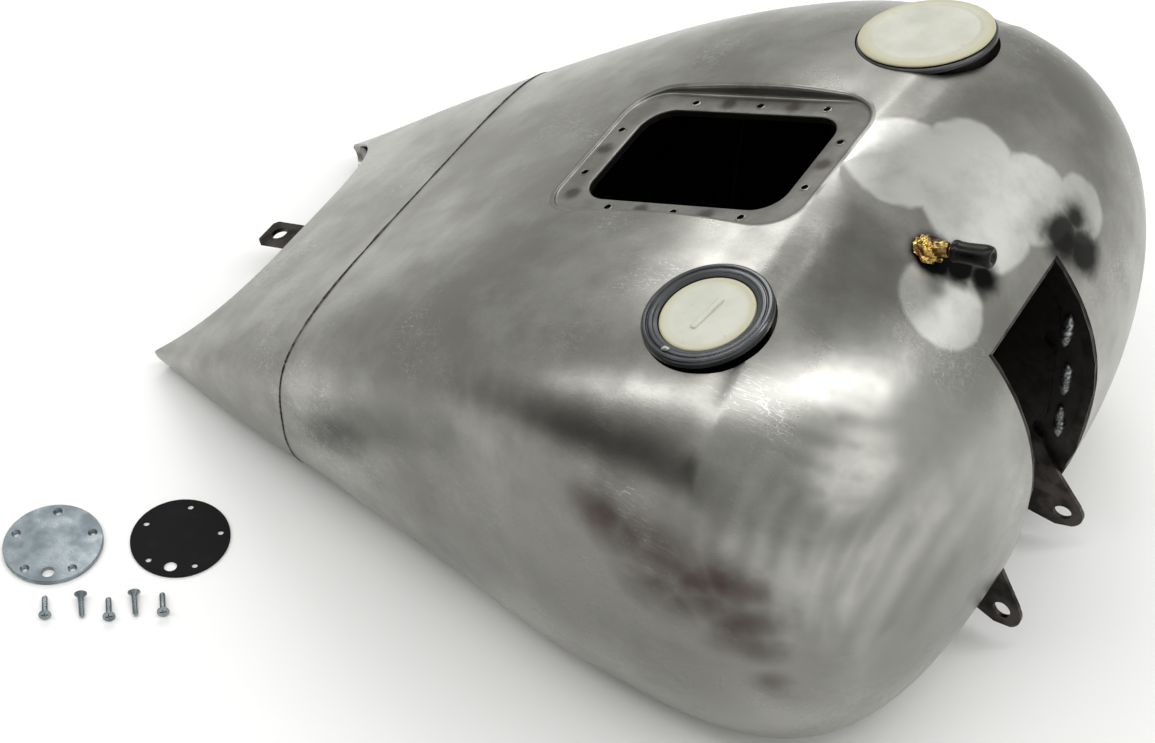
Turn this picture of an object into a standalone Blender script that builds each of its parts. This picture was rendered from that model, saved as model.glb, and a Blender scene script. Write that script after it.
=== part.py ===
"""One-piece stretched motorcycle fuel tank with its loose cover plate, gasket and screws.

Units in this file are millimetres, turned into metres where meshes are made.
+X points to the front of the tank, +Y to its left side and +Z up. Z = 0 is the
surface that the tank and the loose pieces rest on.
"""

import math

import bmesh
import bpy
from mathutils import Matrix, Vector

MM = 0.001
GAP = 0.3

# From the origin, below the middle of everything here, to the foot of the tank's centre line.
TANK_PLACE = (-1.3, 53.5, 0)

# Body sections, from the tips of the tail horns to where the nose starts to round.
STATION_X = (-309, -216, -113, -19, 66, 141)
HALF_WIDTH = (123, 157, 185, 208, 228, 235)
CROWN_HEIGHT = (18, 95, 175, 239, 278.5, 300)
WIDEST_HEIGHT = (13, 51, 85, 112, 131, 136)
TAIL_X = STATION_X[0]
NOSE_X = STATION_X[-1]
NOSE_TIP_X = 305
NOSE_LIFT = 12
SHOULDER_SQUARENESS = 4.0
NOSE_SQUARENESS = 2.0
NOSE_PLAN_SQUARENESS = 3.2
UNDER_TURN = 52
UNDER_TURN_NOSE = 68

SKIN = 2.0
SHEET = 1.6
PAN_MARGIN = 1.8
STRIP_INSET = 3.6
PANEL_INSET = 4.2
BODY_STEPS = 6
TAIL_STEPS = 6
SEAM_X = -158.0
SEAM_GAP = 0.4
REAR_EDGE_X = -262
REAR_EDGE_POWER = 3.5
HORN_UNDERCUT = 10

TUNNEL_HALF = 47.2
NOTCH_X = 267
NOTCH_CORNER = 12
ROOF_FRONT = (263, 239.5)
ROOF_REAR = (-259, 47.2)

PANEL_CENTRE = (63.2, 0, 267.5)
PANEL_SLOPE = 20.8
RECESS = (-94, 84.6, 64)
OPENING = (-75.5, 66.5, 47)
RECESS_CORNER = 26
OPENING_CORNER = 19
SCREW_ROW_Y = 54.6
SCREW_ROW_PITCH = 48.2
SCREW_ENDS = ((74.7, 22.5), (-85.9, 22.5))
PANEL_SCREW_HOLE = 2.4
NUT_RING = 3.0

BUNG_CENTRE = (133, 139.1, 292.2)
BUNG_LEAN_REAR = 14
BUNG_LEAN_OUT = 6.5
FILLER_RADIUS = 38.5
FILLER_BORE = 28.6
SENDER_RADIUS = 44.2
SENDER_BORE = 34.2
CUP_DEPTH = 24
SENDER_HOLE = 19

VENT_X, VENT_Y = 214, -25
VENT_RISE = 15.0

BRACKET = 3.0
TAB_HOLE = (298, 30.6)
TAB_HOLE_RADIUS = 6.1
TAB_SPLAY = 0.12
TAB_CREASE = ((293, 66.5), (273, 21))
REAR_TAB_HOLE = (-287.3, 0, 34.3)
REAR_TAB_SLOPE = 17.1

PLATE_RADIUS = 33
PLATE_THICK = 3.2
GASKET_THICK = 1.5
HOLE_CIRCLE = 26.6
WIRE_HOLE_CIRCLE = 24.5
PLATE_CENTRE, PLATE_TURN = (-269.7, -288.5), 121
GASKET_CENTRE, GASKET_TURN = (-200.8, -241.6), 111.5

# Where each loose screw's head-to-tip middle lies, and which way its tip points.
SCREW_PLACES = (
    (-241, -332.8, -1),
    (-221.1, -320.3, 1),
    (-204.5, -313, -1),
    (-192, -301.8, 1),
    (-176.7, -292.4, -1),
)
SCREW_HEAD = 4.2
SCREW_SHANK = 2.0
SCREW_LENGTH = 17.5
SCREW_YAW = -50

CROSSOVER_X, CROSSOVER_Z = 175, 16
CROSSOVER_HOLE = 7.2
PETCOCK = (-60, 120)
BAFFLE_X = 40

COLOURS = {
    "brushed_steel": ((0.42, 0.42, 0.39), 0.32, 1.0),
    "dark_steel": ((0.045, 0.038, 0.035), 0.55, 0.7),
    "machined_steel": ((0.20, 0.20, 0.20), 0.35, 1.0),
    "raw_sheet": ((0.16, 0.155, 0.145), 0.5, 0.9),
    "white_plastic": ((0.80, 0.80, 0.70), 0.45, 0.0),
    "brass": ((0.62, 0.42, 0.14), 0.3, 1.0),
    "black_rubber": ((0.012, 0.012, 0.013), 0.4, 0.0),
    "zinc_plate": ((0.60, 0.66, 0.72), 0.35, 0.9),
    "gasket_fibre": ((0.018, 0.018, 0.02), 0.75, 0.0),
}


# ---------------------------------------------------------------- scene and materials


def clear_scene():
    for old in list(bpy.data.objects):
        bpy.data.objects.remove(old)


def new_collection(name):
    found = bpy.data.collections.new(name)
    bpy.context.scene.collection.children.link(found)
    return found


def make_material(name):
    colour, roughness, metallic = COLOURS[name]
    material = bpy.data.materials.new(name)
    material.use_nodes = True
    shader = material.node_tree.nodes["Principled BSDF"]
    shader.inputs["Base Color"].default_value = (*colour, 1)
    shader.inputs["Roughness"].default_value = roughness
    shader.inputs["Metallic"].default_value = metallic
    return material


def put(piece, collection, frame=None):
    """Puts a piece in its collection, at a frame counted from the tank's own foot."""
    bpy.data.collections[collection].objects.link(piece)
    piece.parent = bpy.data.objects["tank_foot"]
    piece.matrix_basis = frame or Matrix()


def add(name, mesh, material, frame=None, smooth=True):
    """A node of the object, in its own material."""
    node = bpy.data.objects.new(name, mesh)
    mesh.name = name
    mesh.materials.append(bpy.data.materials[material])
    mesh.shade_smooth() if smooth else mesh.shade_flat()
    put(node, "fuel_tank", frame)
    return node


def helper(name, mesh, frame=None):
    """A cutter: it shapes other pieces and isn't one itself."""
    tool = bpy.data.objects.new(name, mesh)
    tool.hide_render = True
    tool.display_type = "WIRE"
    put(tool, "cutters", frame)
    return tool


def boolean(target, tool, operation="DIFFERENCE"):
    modifier = target.modifiers.new(operation.lower(), "BOOLEAN")
    modifier.operation = operation
    modifier.solver = "EXACT"
    modifier.object = tool
    return target


def solidify(target, thickness, offset):
    modifier = target.modifiers.new("thickness", "SOLIDIFY")
    modifier.thickness = thickness * MM
    modifier.offset = offset
    return target


# ---------------------------------------------------------------- shapes


def mesh_from(points, faces):
    mesh = bpy.data.meshes.new("shape")
    mesh.from_pydata([Vector(p) * MM for p in points], [], faces)
    return mesh


def closed_mesh(build):
    """A mesh from bmesh operators, with its faces turned outward."""
    shape = bmesh.new()
    build(shape)
    bmesh.ops.recalc_face_normals(shape, faces=shape.faces)
    mesh = bpy.data.meshes.new("shape")
    shape.to_mesh(mesh)
    shape.free()
    return mesh


def box(low, high):
    def build(shape):
        bmesh.ops.create_cube(shape, size=1)
        size = [(b - a) * MM for a, b in zip(low, high)]
        centre = [(b + a) / 2 * MM for a, b in zip(low, high)]
        bmesh.ops.scale(shape, vec=size, verts=shape.verts)
        bmesh.ops.translate(shape, vec=centre, verts=shape.verts)

    return closed_mesh(build)


def prism(outline, low, high):
    """A flat outline in XY, pulled from low to high along Z."""

    def build(shape):
        ring = [shape.verts.new(Vector((x, y, low)) * MM) for x, y in outline]
        base = shape.faces.new(ring)
        top = bmesh.ops.extrude_face_region(shape, geom=[base])["geom"]
        moved = [v for v in top if isinstance(v, bmesh.types.BMVert)]
        bmesh.ops.translate(shape, vec=(0, 0, (high - low) * MM), verts=moved)

    return closed_mesh(build)


def upright(outline, low_y, high_y):
    """A flat outline in XZ, pulled from low_y to high_y along Y."""
    mesh = prism(outline, -high_y, -low_y)
    mesh.transform(Matrix.Rotation(math.radians(90), 4, "X"))
    return mesh


def disc(radius, low, high, steps=32, centre=(0, 0)):
    return prism(arc(centre, radius, 0, 360 - 360 / steps, steps), low, high)


def arc(centre, radius, start, end, steps):
    angles = [math.radians(start + (end - start) * i / (steps - 1)) for i in range(steps)]
    return [(centre[0] + radius * math.cos(a), centre[1] + radius * math.sin(a)) for a in angles]


def rounded_rectangle(rear, front, half, corner, steps=5):
    outline = []
    corners = ((front, half, 0), (rear, half, 90), (rear, -half, 180), (front, -half, 270))
    for x, y, turn in corners:
        centre = (x - math.copysign(corner, x), y - math.copysign(corner, y))
        outline += arc(centre, corner, turn, turn + 90, steps)
    return outline


def turned(name, profile, material, frame, steps=28):
    """A turned piece: its profile is radius and height, down the outer side first."""
    points = [(r, 0, z) for r, z in profile]
    on_axis = profile[0][0] == 0 and profile[-1][0] == 0
    count = len(points)
    edges = [(i, i + 1) for i in range(count - 1)] + ([] if on_axis else [(count - 1, 0)])
    mesh = bpy.data.meshes.new("profile")
    mesh.from_pydata([Vector(p) * MM for p in points], edges, [])
    node = add(name, mesh, material, frame)
    screw = node.modifiers.new("turn", "SCREW")
    screw.steps = screw.render_steps = steps
    screw.use_merge_vertices = True
    screw.merge_threshold = 0.00001
    screw.use_smooth_shade = True
    screw.use_normal_flip = False
    return node


# ---------------------------------------------------------------- body surface


def at_station(values, x):
    """A smooth curve through one row of the body sections."""
    last = len(STATION_X) - 1
    i = min(max(sum(x >= s for s in STATION_X) - 1, 0), last - 1)

    def slope(k):
        a, b = max(k - 1, 0), min(k + 1, last)
        return (values[b] - values[a]) / (STATION_X[b] - STATION_X[a])

    span = STATION_X[i + 1] - STATION_X[i]
    t = (x - STATION_X[i]) / span
    start, end = slope(i) * span, slope(i + 1) * span
    return (
        values[i] * (2 * t**3 - 3 * t**2 + 1)
        + start * (t**3 - 2 * t**2 + t)
        + values[i + 1] * (3 * t**2 - 2 * t**3)
        + end * (t**3 - t**2)
    )


def side_rib(x, inset=0):
    """Crown point, widest point, squareness and under-turn of the section at x."""
    crown = Vector((x, 0, at_station(CROWN_HEIGHT, x) - inset))
    widest = Vector((x, at_station(HALF_WIDTH, x) - inset, at_station(WIDEST_HEIGHT, x)))
    along = (x - TAIL_X) / (NOSE_X - TAIL_X)
    return crown, widest, SHOULDER_SQUARENESS, UNDER_TURN * min(1, 0.25 + 2 * along), inset


def nose_rib(angle, inset=0):
    """The section that fans out from the nose centre at an angle, 0 to the side."""
    turn = math.sin(math.radians(angle))
    round_off = 2 / NOSE_PLAN_SQUARENESS
    crown = Vector((NOSE_X, 0, CROWN_HEIGHT[-1] - inset))
    widest = Vector((
        NOSE_X + (NOSE_TIP_X - NOSE_X - inset) * turn**round_off,
        (HALF_WIDTH[-1] - inset) * math.cos(math.radians(angle)) ** round_off,
        WIDEST_HEIGHT[-1] + NOSE_LIFT * turn,
    ))
    squareness = SHOULDER_SQUARENESS + (NOSE_SQUARENESS - SHOULDER_SQUARENESS) * turn
    return crown, widest, squareness, UNDER_TURN + (UNDER_TURN_NOSE - UNDER_TURN) * turn, inset


def rib_point(rib, across):
    """0 is the crown, 1 the widest line and 2 the bottom edge."""
    crown, widest, squareness, under, inset = rib
    if across <= 1:
        angle = across * math.pi / 2
        out = math.sin(angle) ** (2 / squareness)
        up = max(math.cos(angle), 0) ** (2 / squareness)
        point = crown.lerp(widest, out)
        point.z = widest.z + (crown.z - widest.z) * up
        return point
    angle = (across - 1) * math.pi / 2
    inward = (crown - widest).to_2d().normalized()
    point = widest.copy()
    point.xy += inward * under * (1 - math.cos(angle))
    point.z -= (widest.z - inset) * math.sin(angle)
    return point


def steps_between(start, end, count):
    return [start + (end - start) * i / count for i in range(count + 1)]


ACROSS = steps_between(0, 1, 10) + steps_between(1, 2, 4)[1:]
NOSE_ANGLES = (0.3, 2, 6, 14, 26, 40, 54, 66, 76, 83, 87.5, 90)


def body_ribs(start_x, stations, inset=0):
    ribs = [side_rib(x, inset) for x in steps_between(start_x, NOSE_X, stations)]
    return ribs + [nose_rib(a, inset) for a in NOSE_ANGLES]


def grid_faces(rows, columns, flip):
    faces = []
    for i in range(rows - 1):
        for j in range(columns - 1):
            a = i * columns + j
            quad = (a, a + 1, a + columns + 1, a + columns)
            faces.append(quad[::-1] if flip else quad)
    return faces


def welded(mesh):
    """The mesh with its doubled points joined and its empty faces gone."""
    shape = bmesh.new()
    shape.from_mesh(mesh)
    bmesh.ops.remove_doubles(shape, verts=shape.verts, dist=0.02 * MM)
    bmesh.ops.dissolve_degenerate(shape, edges=shape.edges, dist=0.01 * MM)
    shape.to_mesh(mesh)
    shape.free()
    return mesh


def hull(name, inset):
    """The whole outer form as one closed helper, drawn in by inset."""
    ribs = body_ribs(TAIL_X, 2 * BODY_STEPS, inset)
    rows = []
    for rib in ribs:
        half = [rib_point(rib, a) for a in ACROSS]
        floor = Vector((rib[0].x, 0, inset))
        mirrored = [Vector((p.x, -p.y, p.z)) for p in half[1:]]
        rows.append([floor, *half[::-1], *mirrored, floor])
    columns = len(rows[0])
    faces = grid_faces(len(rows), columns, False)
    faces.append(tuple(range(columns - 1)))
    mesh = welded(mesh_from([p for row in rows for p in row], faces))
    shape = bmesh.new()
    shape.from_mesh(mesh)
    bmesh.ops.recalc_face_normals(shape, faces=shape.faces)
    shape.to_mesh(mesh)
    shape.free()
    return helper(name, mesh)


def tail_point(along, across):
    """A point of the tail skin, from the seam (along 0) to the rear edge (along 1)."""
    side, level = (-1 if across < 0 else 1), abs(across)
    reach = math.sin(min(level, 1) * math.pi / 2) ** (2 / SHOULDER_SQUARENESS)
    rear = REAR_EDGE_X + (TAIL_X - REAR_EDGE_X) * reach**REAR_EDGE_POWER
    rear += HORN_UNDERCUT * max(level - 1, 0)
    start = SEAM_X - SEAM_GAP
    point = rib_point(side_rib(start + (rear - start) * along), level)
    return Vector((point.x, side * point.y, point.z))


def rear_edge_x(y):
    return REAR_EDGE_X + (TAIL_X - REAR_EDGE_X) * min(abs(y) / HALF_WIDTH[0], 1) ** REAR_EDGE_POWER


# ---------------------------------------------------------------- frames


def tilted(place, rearward=0, outward=0):
    """A frame whose Z leans rearward and outward, in degrees."""
    rear = Matrix.Rotation(math.radians(-rearward), 4, "Y")
    out = Matrix.Rotation(math.radians(outward), 4, "X")
    return Matrix.Translation(Vector(place) * MM) @ rear @ out


def bung_frame(side):
    x, y, z = BUNG_CENTRE
    return tilted((x, side * y, z), BUNG_LEAN_REAR, -side * BUNG_LEAN_OUT)


def panel_frame():
    return tilted(PANEL_CENTRE, PANEL_SLOPE)


def crown_height(x):
    """Height of the nose's top line, ahead of where it starts to round."""
    crown, widest = nose_rib(90)[:2]
    reach = (x - NOSE_X) / (NOSE_TIP_X - NOSE_X)
    return widest.z + (crown.z - widest.z) * math.sqrt(1 - reach**2)


def vent_frames():
    """The frame of the vent's foot on the skin, and that of its barb."""
    place_on_skin = (VENT_X, VENT_Y, crown_height(VENT_X))
    fall = (crown_height(VENT_X - 5) - crown_height(VENT_X + 5)) / 10
    base = tilted(place_on_skin, -math.degrees(math.atan(fall)))
    start = base @ Vector((0, 0, 4 * MM))
    barb = Matrix.Translation(start) @ Matrix.Rotation(math.radians(90 - VENT_RISE), 4, "Y")
    return base, barb


# ---------------------------------------------------------------- sheet-metal pieces


def body_shell(name, side, cutters):
    ribs = body_ribs(SEAM_X, BODY_STEPS)
    rows = []
    for rib in ribs:
        rib[0].y = GAP / 2
        row = [rib_point(rib, a) for a in ACROSS]
        rows.append([Vector((p.x, side * p.y, p.z)) for p in row])
    faces = grid_faces(len(rows), len(ACROSS), side > 0)
    mesh = welded(mesh_from([p for row in rows for p in row], faces))
    shell = solidify(add(name, mesh, "brushed_steel"), SKIN, -1)
    for cutter in cutters:
        boolean(shell, cutter)
    return shell


def tail_skin():
    spread = [-a for a in ACROSS[:0:-1]] + list(ACROSS)
    rows = [[tail_point(u, a) for a in spread] for u in steps_between(0, 1, TAIL_STEPS)]
    faces = grid_faces(len(rows), len(spread), False)
    mesh = mesh_from([p for row in rows for p in row], faces)
    return solidify(add("tail_extension", mesh, "brushed_steel"), SKIN, -1)


def seam_strip():
    """The joggled strip behind the weld between the body and the tail."""
    spread = [a for a in ACROSS if a <= 1.75]
    spread = [-a for a in spread[:0:-1]] + spread
    rows = []
    for x in steps_between(SEAM_X - 10, SEAM_X + 10, 2):
        rib = side_rib(x, STRIP_INSET)
        row = [rib_point(rib, abs(a)) for a in spread]
        sided = [(p, math.copysign(p.y, a) if a else 0) for p, a in zip(row, spread)]
        rows.append([Vector((p.x, y, p.z)) for p, y in sided])
    mesh = mesh_from([p for row in rows for p in row], grid_faces(3, len(spread), True))
    return solidify(add("seam_backing_strip", mesh, "raw_sheet"), 1.2, -1)


def closing_panel(inner_hull):
    reach = [-1.02 + 2.04 * i / 24 for i in range(25)]
    points = []
    for height in (-20, 140):
        for r in reach:
            y = r * HALF_WIDTH[0]
            points.append(Vector((rear_edge_x(y) + 3, y, height)))
    mesh = mesh_from(points, grid_faces(2, len(reach), True))
    panel = solidify(add("tail_closing_panel", mesh, "raw_sheet"), SHEET, -1)
    boolean(panel, inner_hull, "INTERSECT")
    top = roof_height(REAR_EDGE_X + 5) + 2 * GAP
    mouth = box((-330, -TUNNEL_HALF - GAP, -30), (-240, TUNNEL_HALF + GAP, top))
    return boolean(panel, helper("tunnel_mouth_cutter", mouth))


def roof_height(x):
    slope = (ROOF_FRONT[1] - ROOF_REAR[1]) / (ROOF_FRONT[0] - ROOF_REAR[0])
    return ROOF_REAR[1] + slope * (x - ROOF_REAR[0])


def tunnel_channel(outer_hull):
    """The channel between the lobes: two walls that follow the lobes' front edge, and a roof."""
    rear, front = ROOF_REAR[0], ROOF_FRONT[0]
    step = NOTCH_X + GAP
    side = [(rear, 0), (340, 0), (340, 400), (step, 400), (step, ROOF_FRONT[1]), ROOF_FRONT, ROOF_REAR]
    channel = add("tunnel_channel", upright(side, -TUNNEL_HALF, TUNNEL_HALF), "raw_sheet", smooth=False)
    inner = TUNNEL_HALF - SHEET
    drop = SHEET * 1.07
    hollow = [
        (rear - 20, -20),
        (400, -20),
        (400, 500),
        (front, 500),
        (front, ROOF_FRONT[1] - drop),
        (rear - 20, roof_height(rear - 20) - drop),
    ]
    boolean(channel, helper("tunnel_hollow", upright(hollow, -inner, inner)))
    for side_name, y in (("right", -TUNNEL_HALF), ("left", TUNNEL_HALF)):
        nipple_hole = disc(CROSSOVER_HOLE, -8, 8, 24)
        frame = crossover_frame(math.copysign(1, y))
        boolean(channel, helper(f"crossover_cutter_{side_name}", nipple_hole, frame))
    return boolean(channel, outer_hull, "INTERSECT")


def bottom_edge(inset):
    """The skin's lower edge on the left, from the horn round to the nose, drawn in by inset."""
    edge = [tail_point(u, 2) + Vector((0, -inset, 0)) for u in steps_between(1, 0, TAIL_STEPS)]
    for rib in body_ribs(SEAM_X, BODY_STEPS):
        inward = (rib[0] - rib[1]).to_2d().normalized() * inset
        edge.append(rib_point(rib, 2) + inward.to_3d())
    return [(p.x, p.y) for p in edge]


def floor_pan(name, side, holes):
    """The flat pan under one lobe, up to the skin's bottom edge and the tunnel wall."""
    wall = TUNNEL_HALF + GAP
    edge = [p for p in bottom_edge(PAN_MARGIN) if p[1] > wall + 2]
    before, after = edge[-2], edge[-1]
    rear = [(rear_edge_x(y) + 1, y) for y in steps_between(wall, edge[0][1] - 4, 6)]
    slope = (after[1] - before[1]) / (after[0] - before[0])
    front = (after[0] + (wall - after[1]) / slope - 3, wall)
    outline = rear + edge + [front]
    outline = [(x, side * y) for x, y in outline]
    pan = add(name, prism(outline, 0, SHEET), "raw_sheet", smooth=False)
    for hole in holes:
        boolean(pan, hole)
    return pan


# ---------------------------------------------------------------- pump opening


def panel_screw_places():
    rows = [(u * SCREW_ROW_PITCH, v) for u in (-1, 0, 1) for v in (-SCREW_ROW_Y, SCREW_ROW_Y)]
    ends = [(u, v * side) for u, v in SCREW_ENDS for side in (-1, 1)]
    return rows + ends


def pump_panel(outer_hull):
    """The sunk panel: a tray whose rim comes up to the skin."""
    frame = panel_frame()
    rear, front, half = RECESS
    tray = rounded_rectangle(rear + GAP, front - GAP, half - GAP, RECESS_CORNER)
    inset = GAP + SHEET
    well = rounded_rectangle(rear + inset, front - inset, half - inset, RECESS_CORNER - SHEET)
    panel = add("pump_panel", prism(tray, -SHEET, 40), "brushed_steel", frame, smooth=False)
    boolean(panel, helper("pump_well", prism(well, 0, 60), frame))
    boolean(panel, outer_hull, "INTERSECT")
    return cut_pump_holes(panel)


def cut_pump_holes(target):
    frame = panel_frame()
    name = target.name
    window = prism(rounded_rectangle(*OPENING, OPENING_CORNER), -20, 20)
    boolean(target, helper(f"{name}_opening", window, frame))
    for i, place in enumerate(panel_screw_places()):
        hole = disc(PANEL_SCREW_HOLE, -20, 20, 8, place)
        boolean(target, helper(f"{name}_hole_{i}", hole, frame))
    return target


def nut_ring():
    rear, front, half = RECESS
    margin = SHEET + GAP
    corner = RECESS_CORNER - margin
    outline = rounded_rectangle(rear + margin, front - margin, half - margin, corner)
    shape = prism(outline, -margin - NUT_RING, -margin)
    ring = add("pump_nut_ring", shape, "raw_sheet", panel_frame(), False)
    return cut_pump_holes(ring)


# ---------------------------------------------------------------- filler, sender and vent


def filler_parts():
    frame = bung_frame(-1)
    r, bore = FILLER_RADIUS, FILLER_BORE
    turned(
        "filler_bung",
        [(bore, 0.4), (r - 4.5, 0.4), (r - 4.2, 1.6), (r - 0.8, 1.6), (r, 0.8), (r, -4),
         (bore + 4, -4), (bore + 4, -20), (bore, -20)],
        "machined_steel",
        frame,
    )
    seal_out = bore - GAP
    seal = [(25.0, -1.4), (seal_out, -1.4), (seal_out, -3.4), (25.0, -3.4)]
    turned("filler_plug_seal", seal, "black_rubber", frame)
    top = [(0, -1.6), (21, -1.6), (22, -1.0), (24, 0.2)]
    top += [(bore - 0.8, 0.2), (bore - GAP, -0.3), (bore - GAP, -1.1)]
    stem = [(24.7, -1.1), (24.7, -3.7), (27.6, -3.7), (27.6, -15), (24.5, -15), (24.5, -4.5), (0, -4.5)]
    plug = turned("filler_plug", top + stem, "white_plastic", frame)
    bar = box((-15, -2, -2.5), (15, 2, 0.0))
    across_plug = frame @ Matrix.Rotation(math.radians(75), 4, "Z")
    return boolean(plug, helper("filler_plug_bar", bar, across_plug), "UNION")


def sender_parts():
    frame = bung_frame(1)
    r, bore = SENDER_RADIUS, SENDER_BORE
    turned(
        "sender_ring",
        [(bore, 0), (r - 3, 0), (r, -0.8), (r, -4), (bore + 3.6, -4), (bore + 3.6, -8), (bore, -8)],
        "machined_steel",
        frame,
    )
    wall = bore + 1.6
    cup = turned(
        "sender_cup",
        [(bore, -8.3), (wall + 2, -8.3), (wall + 2, -CUP_DEPTH - SHEET),
         (SENDER_HOLE, -CUP_DEPTH - SHEET), (SENDER_HOLE, -CUP_DEPTH), (bore, -CUP_DEPTH)],
        "raw_sheet",
        frame,
    )
    for i in range(5):
        angle = math.radians(111 + 72 * i)
        place = (HOLE_CIRCLE * math.cos(angle), HOLE_CIRCLE * math.sin(angle))
        hole = disc(2, -CUP_DEPTH - 9, -CUP_DEPTH + 9, 8, place)
        boolean(cup, helper(f"sender_screw_hole_{i}", hole, frame))
    skirt = bore - GAP
    turned(
        "sender_cap",
        [(0, 2.2), (33, 2.2), (36, 3.2), (40.5, 3.2), (42.7, 2.0), (42.7, GAP), (skirt, GAP), (skirt, -7),
         (skirt - 2, -7), (skirt - 2, -0.6), (0, -0.6)],
        "white_plastic",
        frame,
        32,
    )


def vent_parts(skin_cutters):
    base, barb = vent_frames()
    skin_cutters.append(helper("vent_hole", disc(6.3, -12, 4, 24), base))
    foot_profile = [(0, 8), (5.5, 8), (8.2, 5.5), (8.2, GAP + 0.4), (6, GAP + 0.4), (6, -9), (0, -9)]
    elbow = turned("vent_elbow", foot_profile, "brass", base, 12)
    barb_profile = [(0, 33), (2.4, 33), (3.4, 28), (2.6, 27.8), (3.4, 22), (2.6, 21.8)]
    barb_profile += [(2.6, 15), (4.4, 14.6), (5.2, 8), (5.2, 0), (0, 0)]
    points = [Vector((r, 0, z)) * MM for r, z in barb_profile]
    mesh = bpy.data.meshes.new("barb")
    mesh.from_pydata(points, [(i, i + 1) for i in range(len(points) - 1)], [])
    pipe = helper("vent_barb", mesh, barb)
    screw = pipe.modifiers.new("turn", "SCREW")
    screw.steps = screw.render_steps = 16
    screw.use_merge_vertices = True
    screw.merge_threshold = 0.00001
    boolean(elbow, pipe, "UNION")
    cap = [(0, 40), (4.5, 40), (6.2, 38), (6.4, 34), (5.9, 20), (6.3, 16.5), (6.3, 15)]
    cap += [(3.8, 15), (3.8, 34), (0, 34)]
    turned("vent_cap", cap, "black_rubber", barb, 24)
    vent_tube(base)


def vent_tube(base):
    """The inner tube that takes the vent's breath from the highest point of the tank."""
    start = base @ Vector((0, 0, -9.5 * MM))
    route = [start, base @ Vector((0, 0, -20 * MM)), start + Vector((-22, 0, -24)) * MM,
             start + Vector((-50, 0, -14)) * MM, start + Vector((-62, 0, -4)) * MM]
    curve = bpy.data.curves.new("vent_tube", "CURVE")
    curve.dimensions = "3D"
    curve.bevel_depth = 3 * MM
    curve.bevel_resolution = 2
    curve.use_fill_caps = True
    spline = curve.splines.new("POLY")
    smooth_route = []
    for i in range(len(route) - 1):
        before, after = route[max(i - 1, 0)], route[min(i + 2, len(route) - 1)]
        for t in (0, 0.25, 0.5, 0.75):
            a, b = route[i], route[i + 1]
            smooth_route.append(
                0.5 * (2 * a + (b - before) * t + (2 * before - 5 * a + 4 * b - after) * t**2
                       + (3 * a - 3 * b + after - before) * t**3)
            )
    smooth_route.append(route[-1])
    spline.points.add(len(smooth_route) - 1)
    for point, place in zip(spline.points, smooth_route):
        point.co = (*place, 1)
    curve.materials.append(bpy.data.materials["raw_sheet"])
    put(bpy.data.objects.new("vent_tube", curve), "fuel_tank")


# ---------------------------------------------------------------- brackets, tabs and fittings


def crossover_frame(side):
    place = Vector((CROSSOVER_X, side * (TUNNEL_HALF - SHEET / 2), CROSSOVER_Z)) * MM
    return Matrix.Translation(place) @ Matrix.Rotation(math.radians(90 * side), 4, "X")


def crossover_nipple(name, side):
    """A hose nipple through the tunnel wall; its barb points into the tunnel."""
    profile = [(2.6, 24), (4.0, 24), (4.9, 20), (4.2, 19.6), (4.9, 15), (4.2, 14.6), (4.2, 6)]
    profile += [(10, 6), (10, 1.3), (6.9, 1.3), (6.9, -8), (2.6, -8)]
    return turned(name, profile, "machined_steel", crossover_frame(side), 20)


def front_bracket(name, side):
    """A plate on the tunnel wall that runs down into a splayed mounting tab."""
    hole_x, hole_z = TAB_HOLE
    face = TUNNEL_HALF - SHEET - GAP
    outline = [(206, 212), (246, 228), (262, 226), (270, 214)]
    outline += [(276, 206), (276, 196)]
    outline += arc((277, 182), 9, 100, 260, 7)
    outline += [(277, 168), (278, 116)]
    outline += arc((279, 102), 9, 100, 260, 7)
    outline += [(280, 86), (289.6, 70.5), (308.6, 39.5)]
    outline += arc((hole_x + 1.5, hole_z - 0.5), 12.2, 35, -62, 8)
    outline += [(294, 17.2), (262, 27), (232, 44), (208, 70), (198, 110)]
    mesh = upright(outline, face - BRACKET, face)
    top, bottom = (Vector(end) for end in TAB_CREASE)
    along = (bottom - top).normalized()
    shape = bmesh.new()
    shape.from_mesh(mesh)
    bmesh.ops.bisect_plane(
        shape,
        geom=shape.verts[:] + shape.edges[:] + shape.faces[:],
        plane_co=(top.x * MM, 0, top.y * MM),
        plane_no=(along.y, 0, -along.x),
    )
    for v in shape.verts:
        offset = Vector((v.co.x, v.co.z)) / MM - top
        beyond = along.x * offset.y - along.y * offset.x
        v.co.y = side * (v.co.y + TAB_SPLAY * max(beyond, 0) * MM)
    if side < 0:
        bmesh.ops.reverse_faces(shape, faces=shape.faces)
    shape.to_mesh(mesh)
    shape.free()
    bracket = add(name, mesh, "dark_steel", smooth=False)
    middle = side * (face - BRACKET / 2)
    hole = upright(arc(TAB_HOLE, TAB_HOLE_RADIUS, 0, 345, 24), middle - 20, middle + 20)
    return boolean(bracket, helper(f"{name}_hole", hole))


def rim_flange(name, side, outer_hull, inner_hull):
    """The folded edge of a lobe, a narrow strip round the front of the tunnel wall."""
    face = TUNNEL_HALF - SHEET - GAP
    low, high = sorted((side * (face - 1.2), side * face))
    strip = add(name, box((NOTCH_X + 2 * GAP, low, 96), (340, high, 330)), "raw_sheet", smooth=False)
    boolean(strip, outer_hull, "INTERSECT")
    return boolean(strip, inner_hull)


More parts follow.
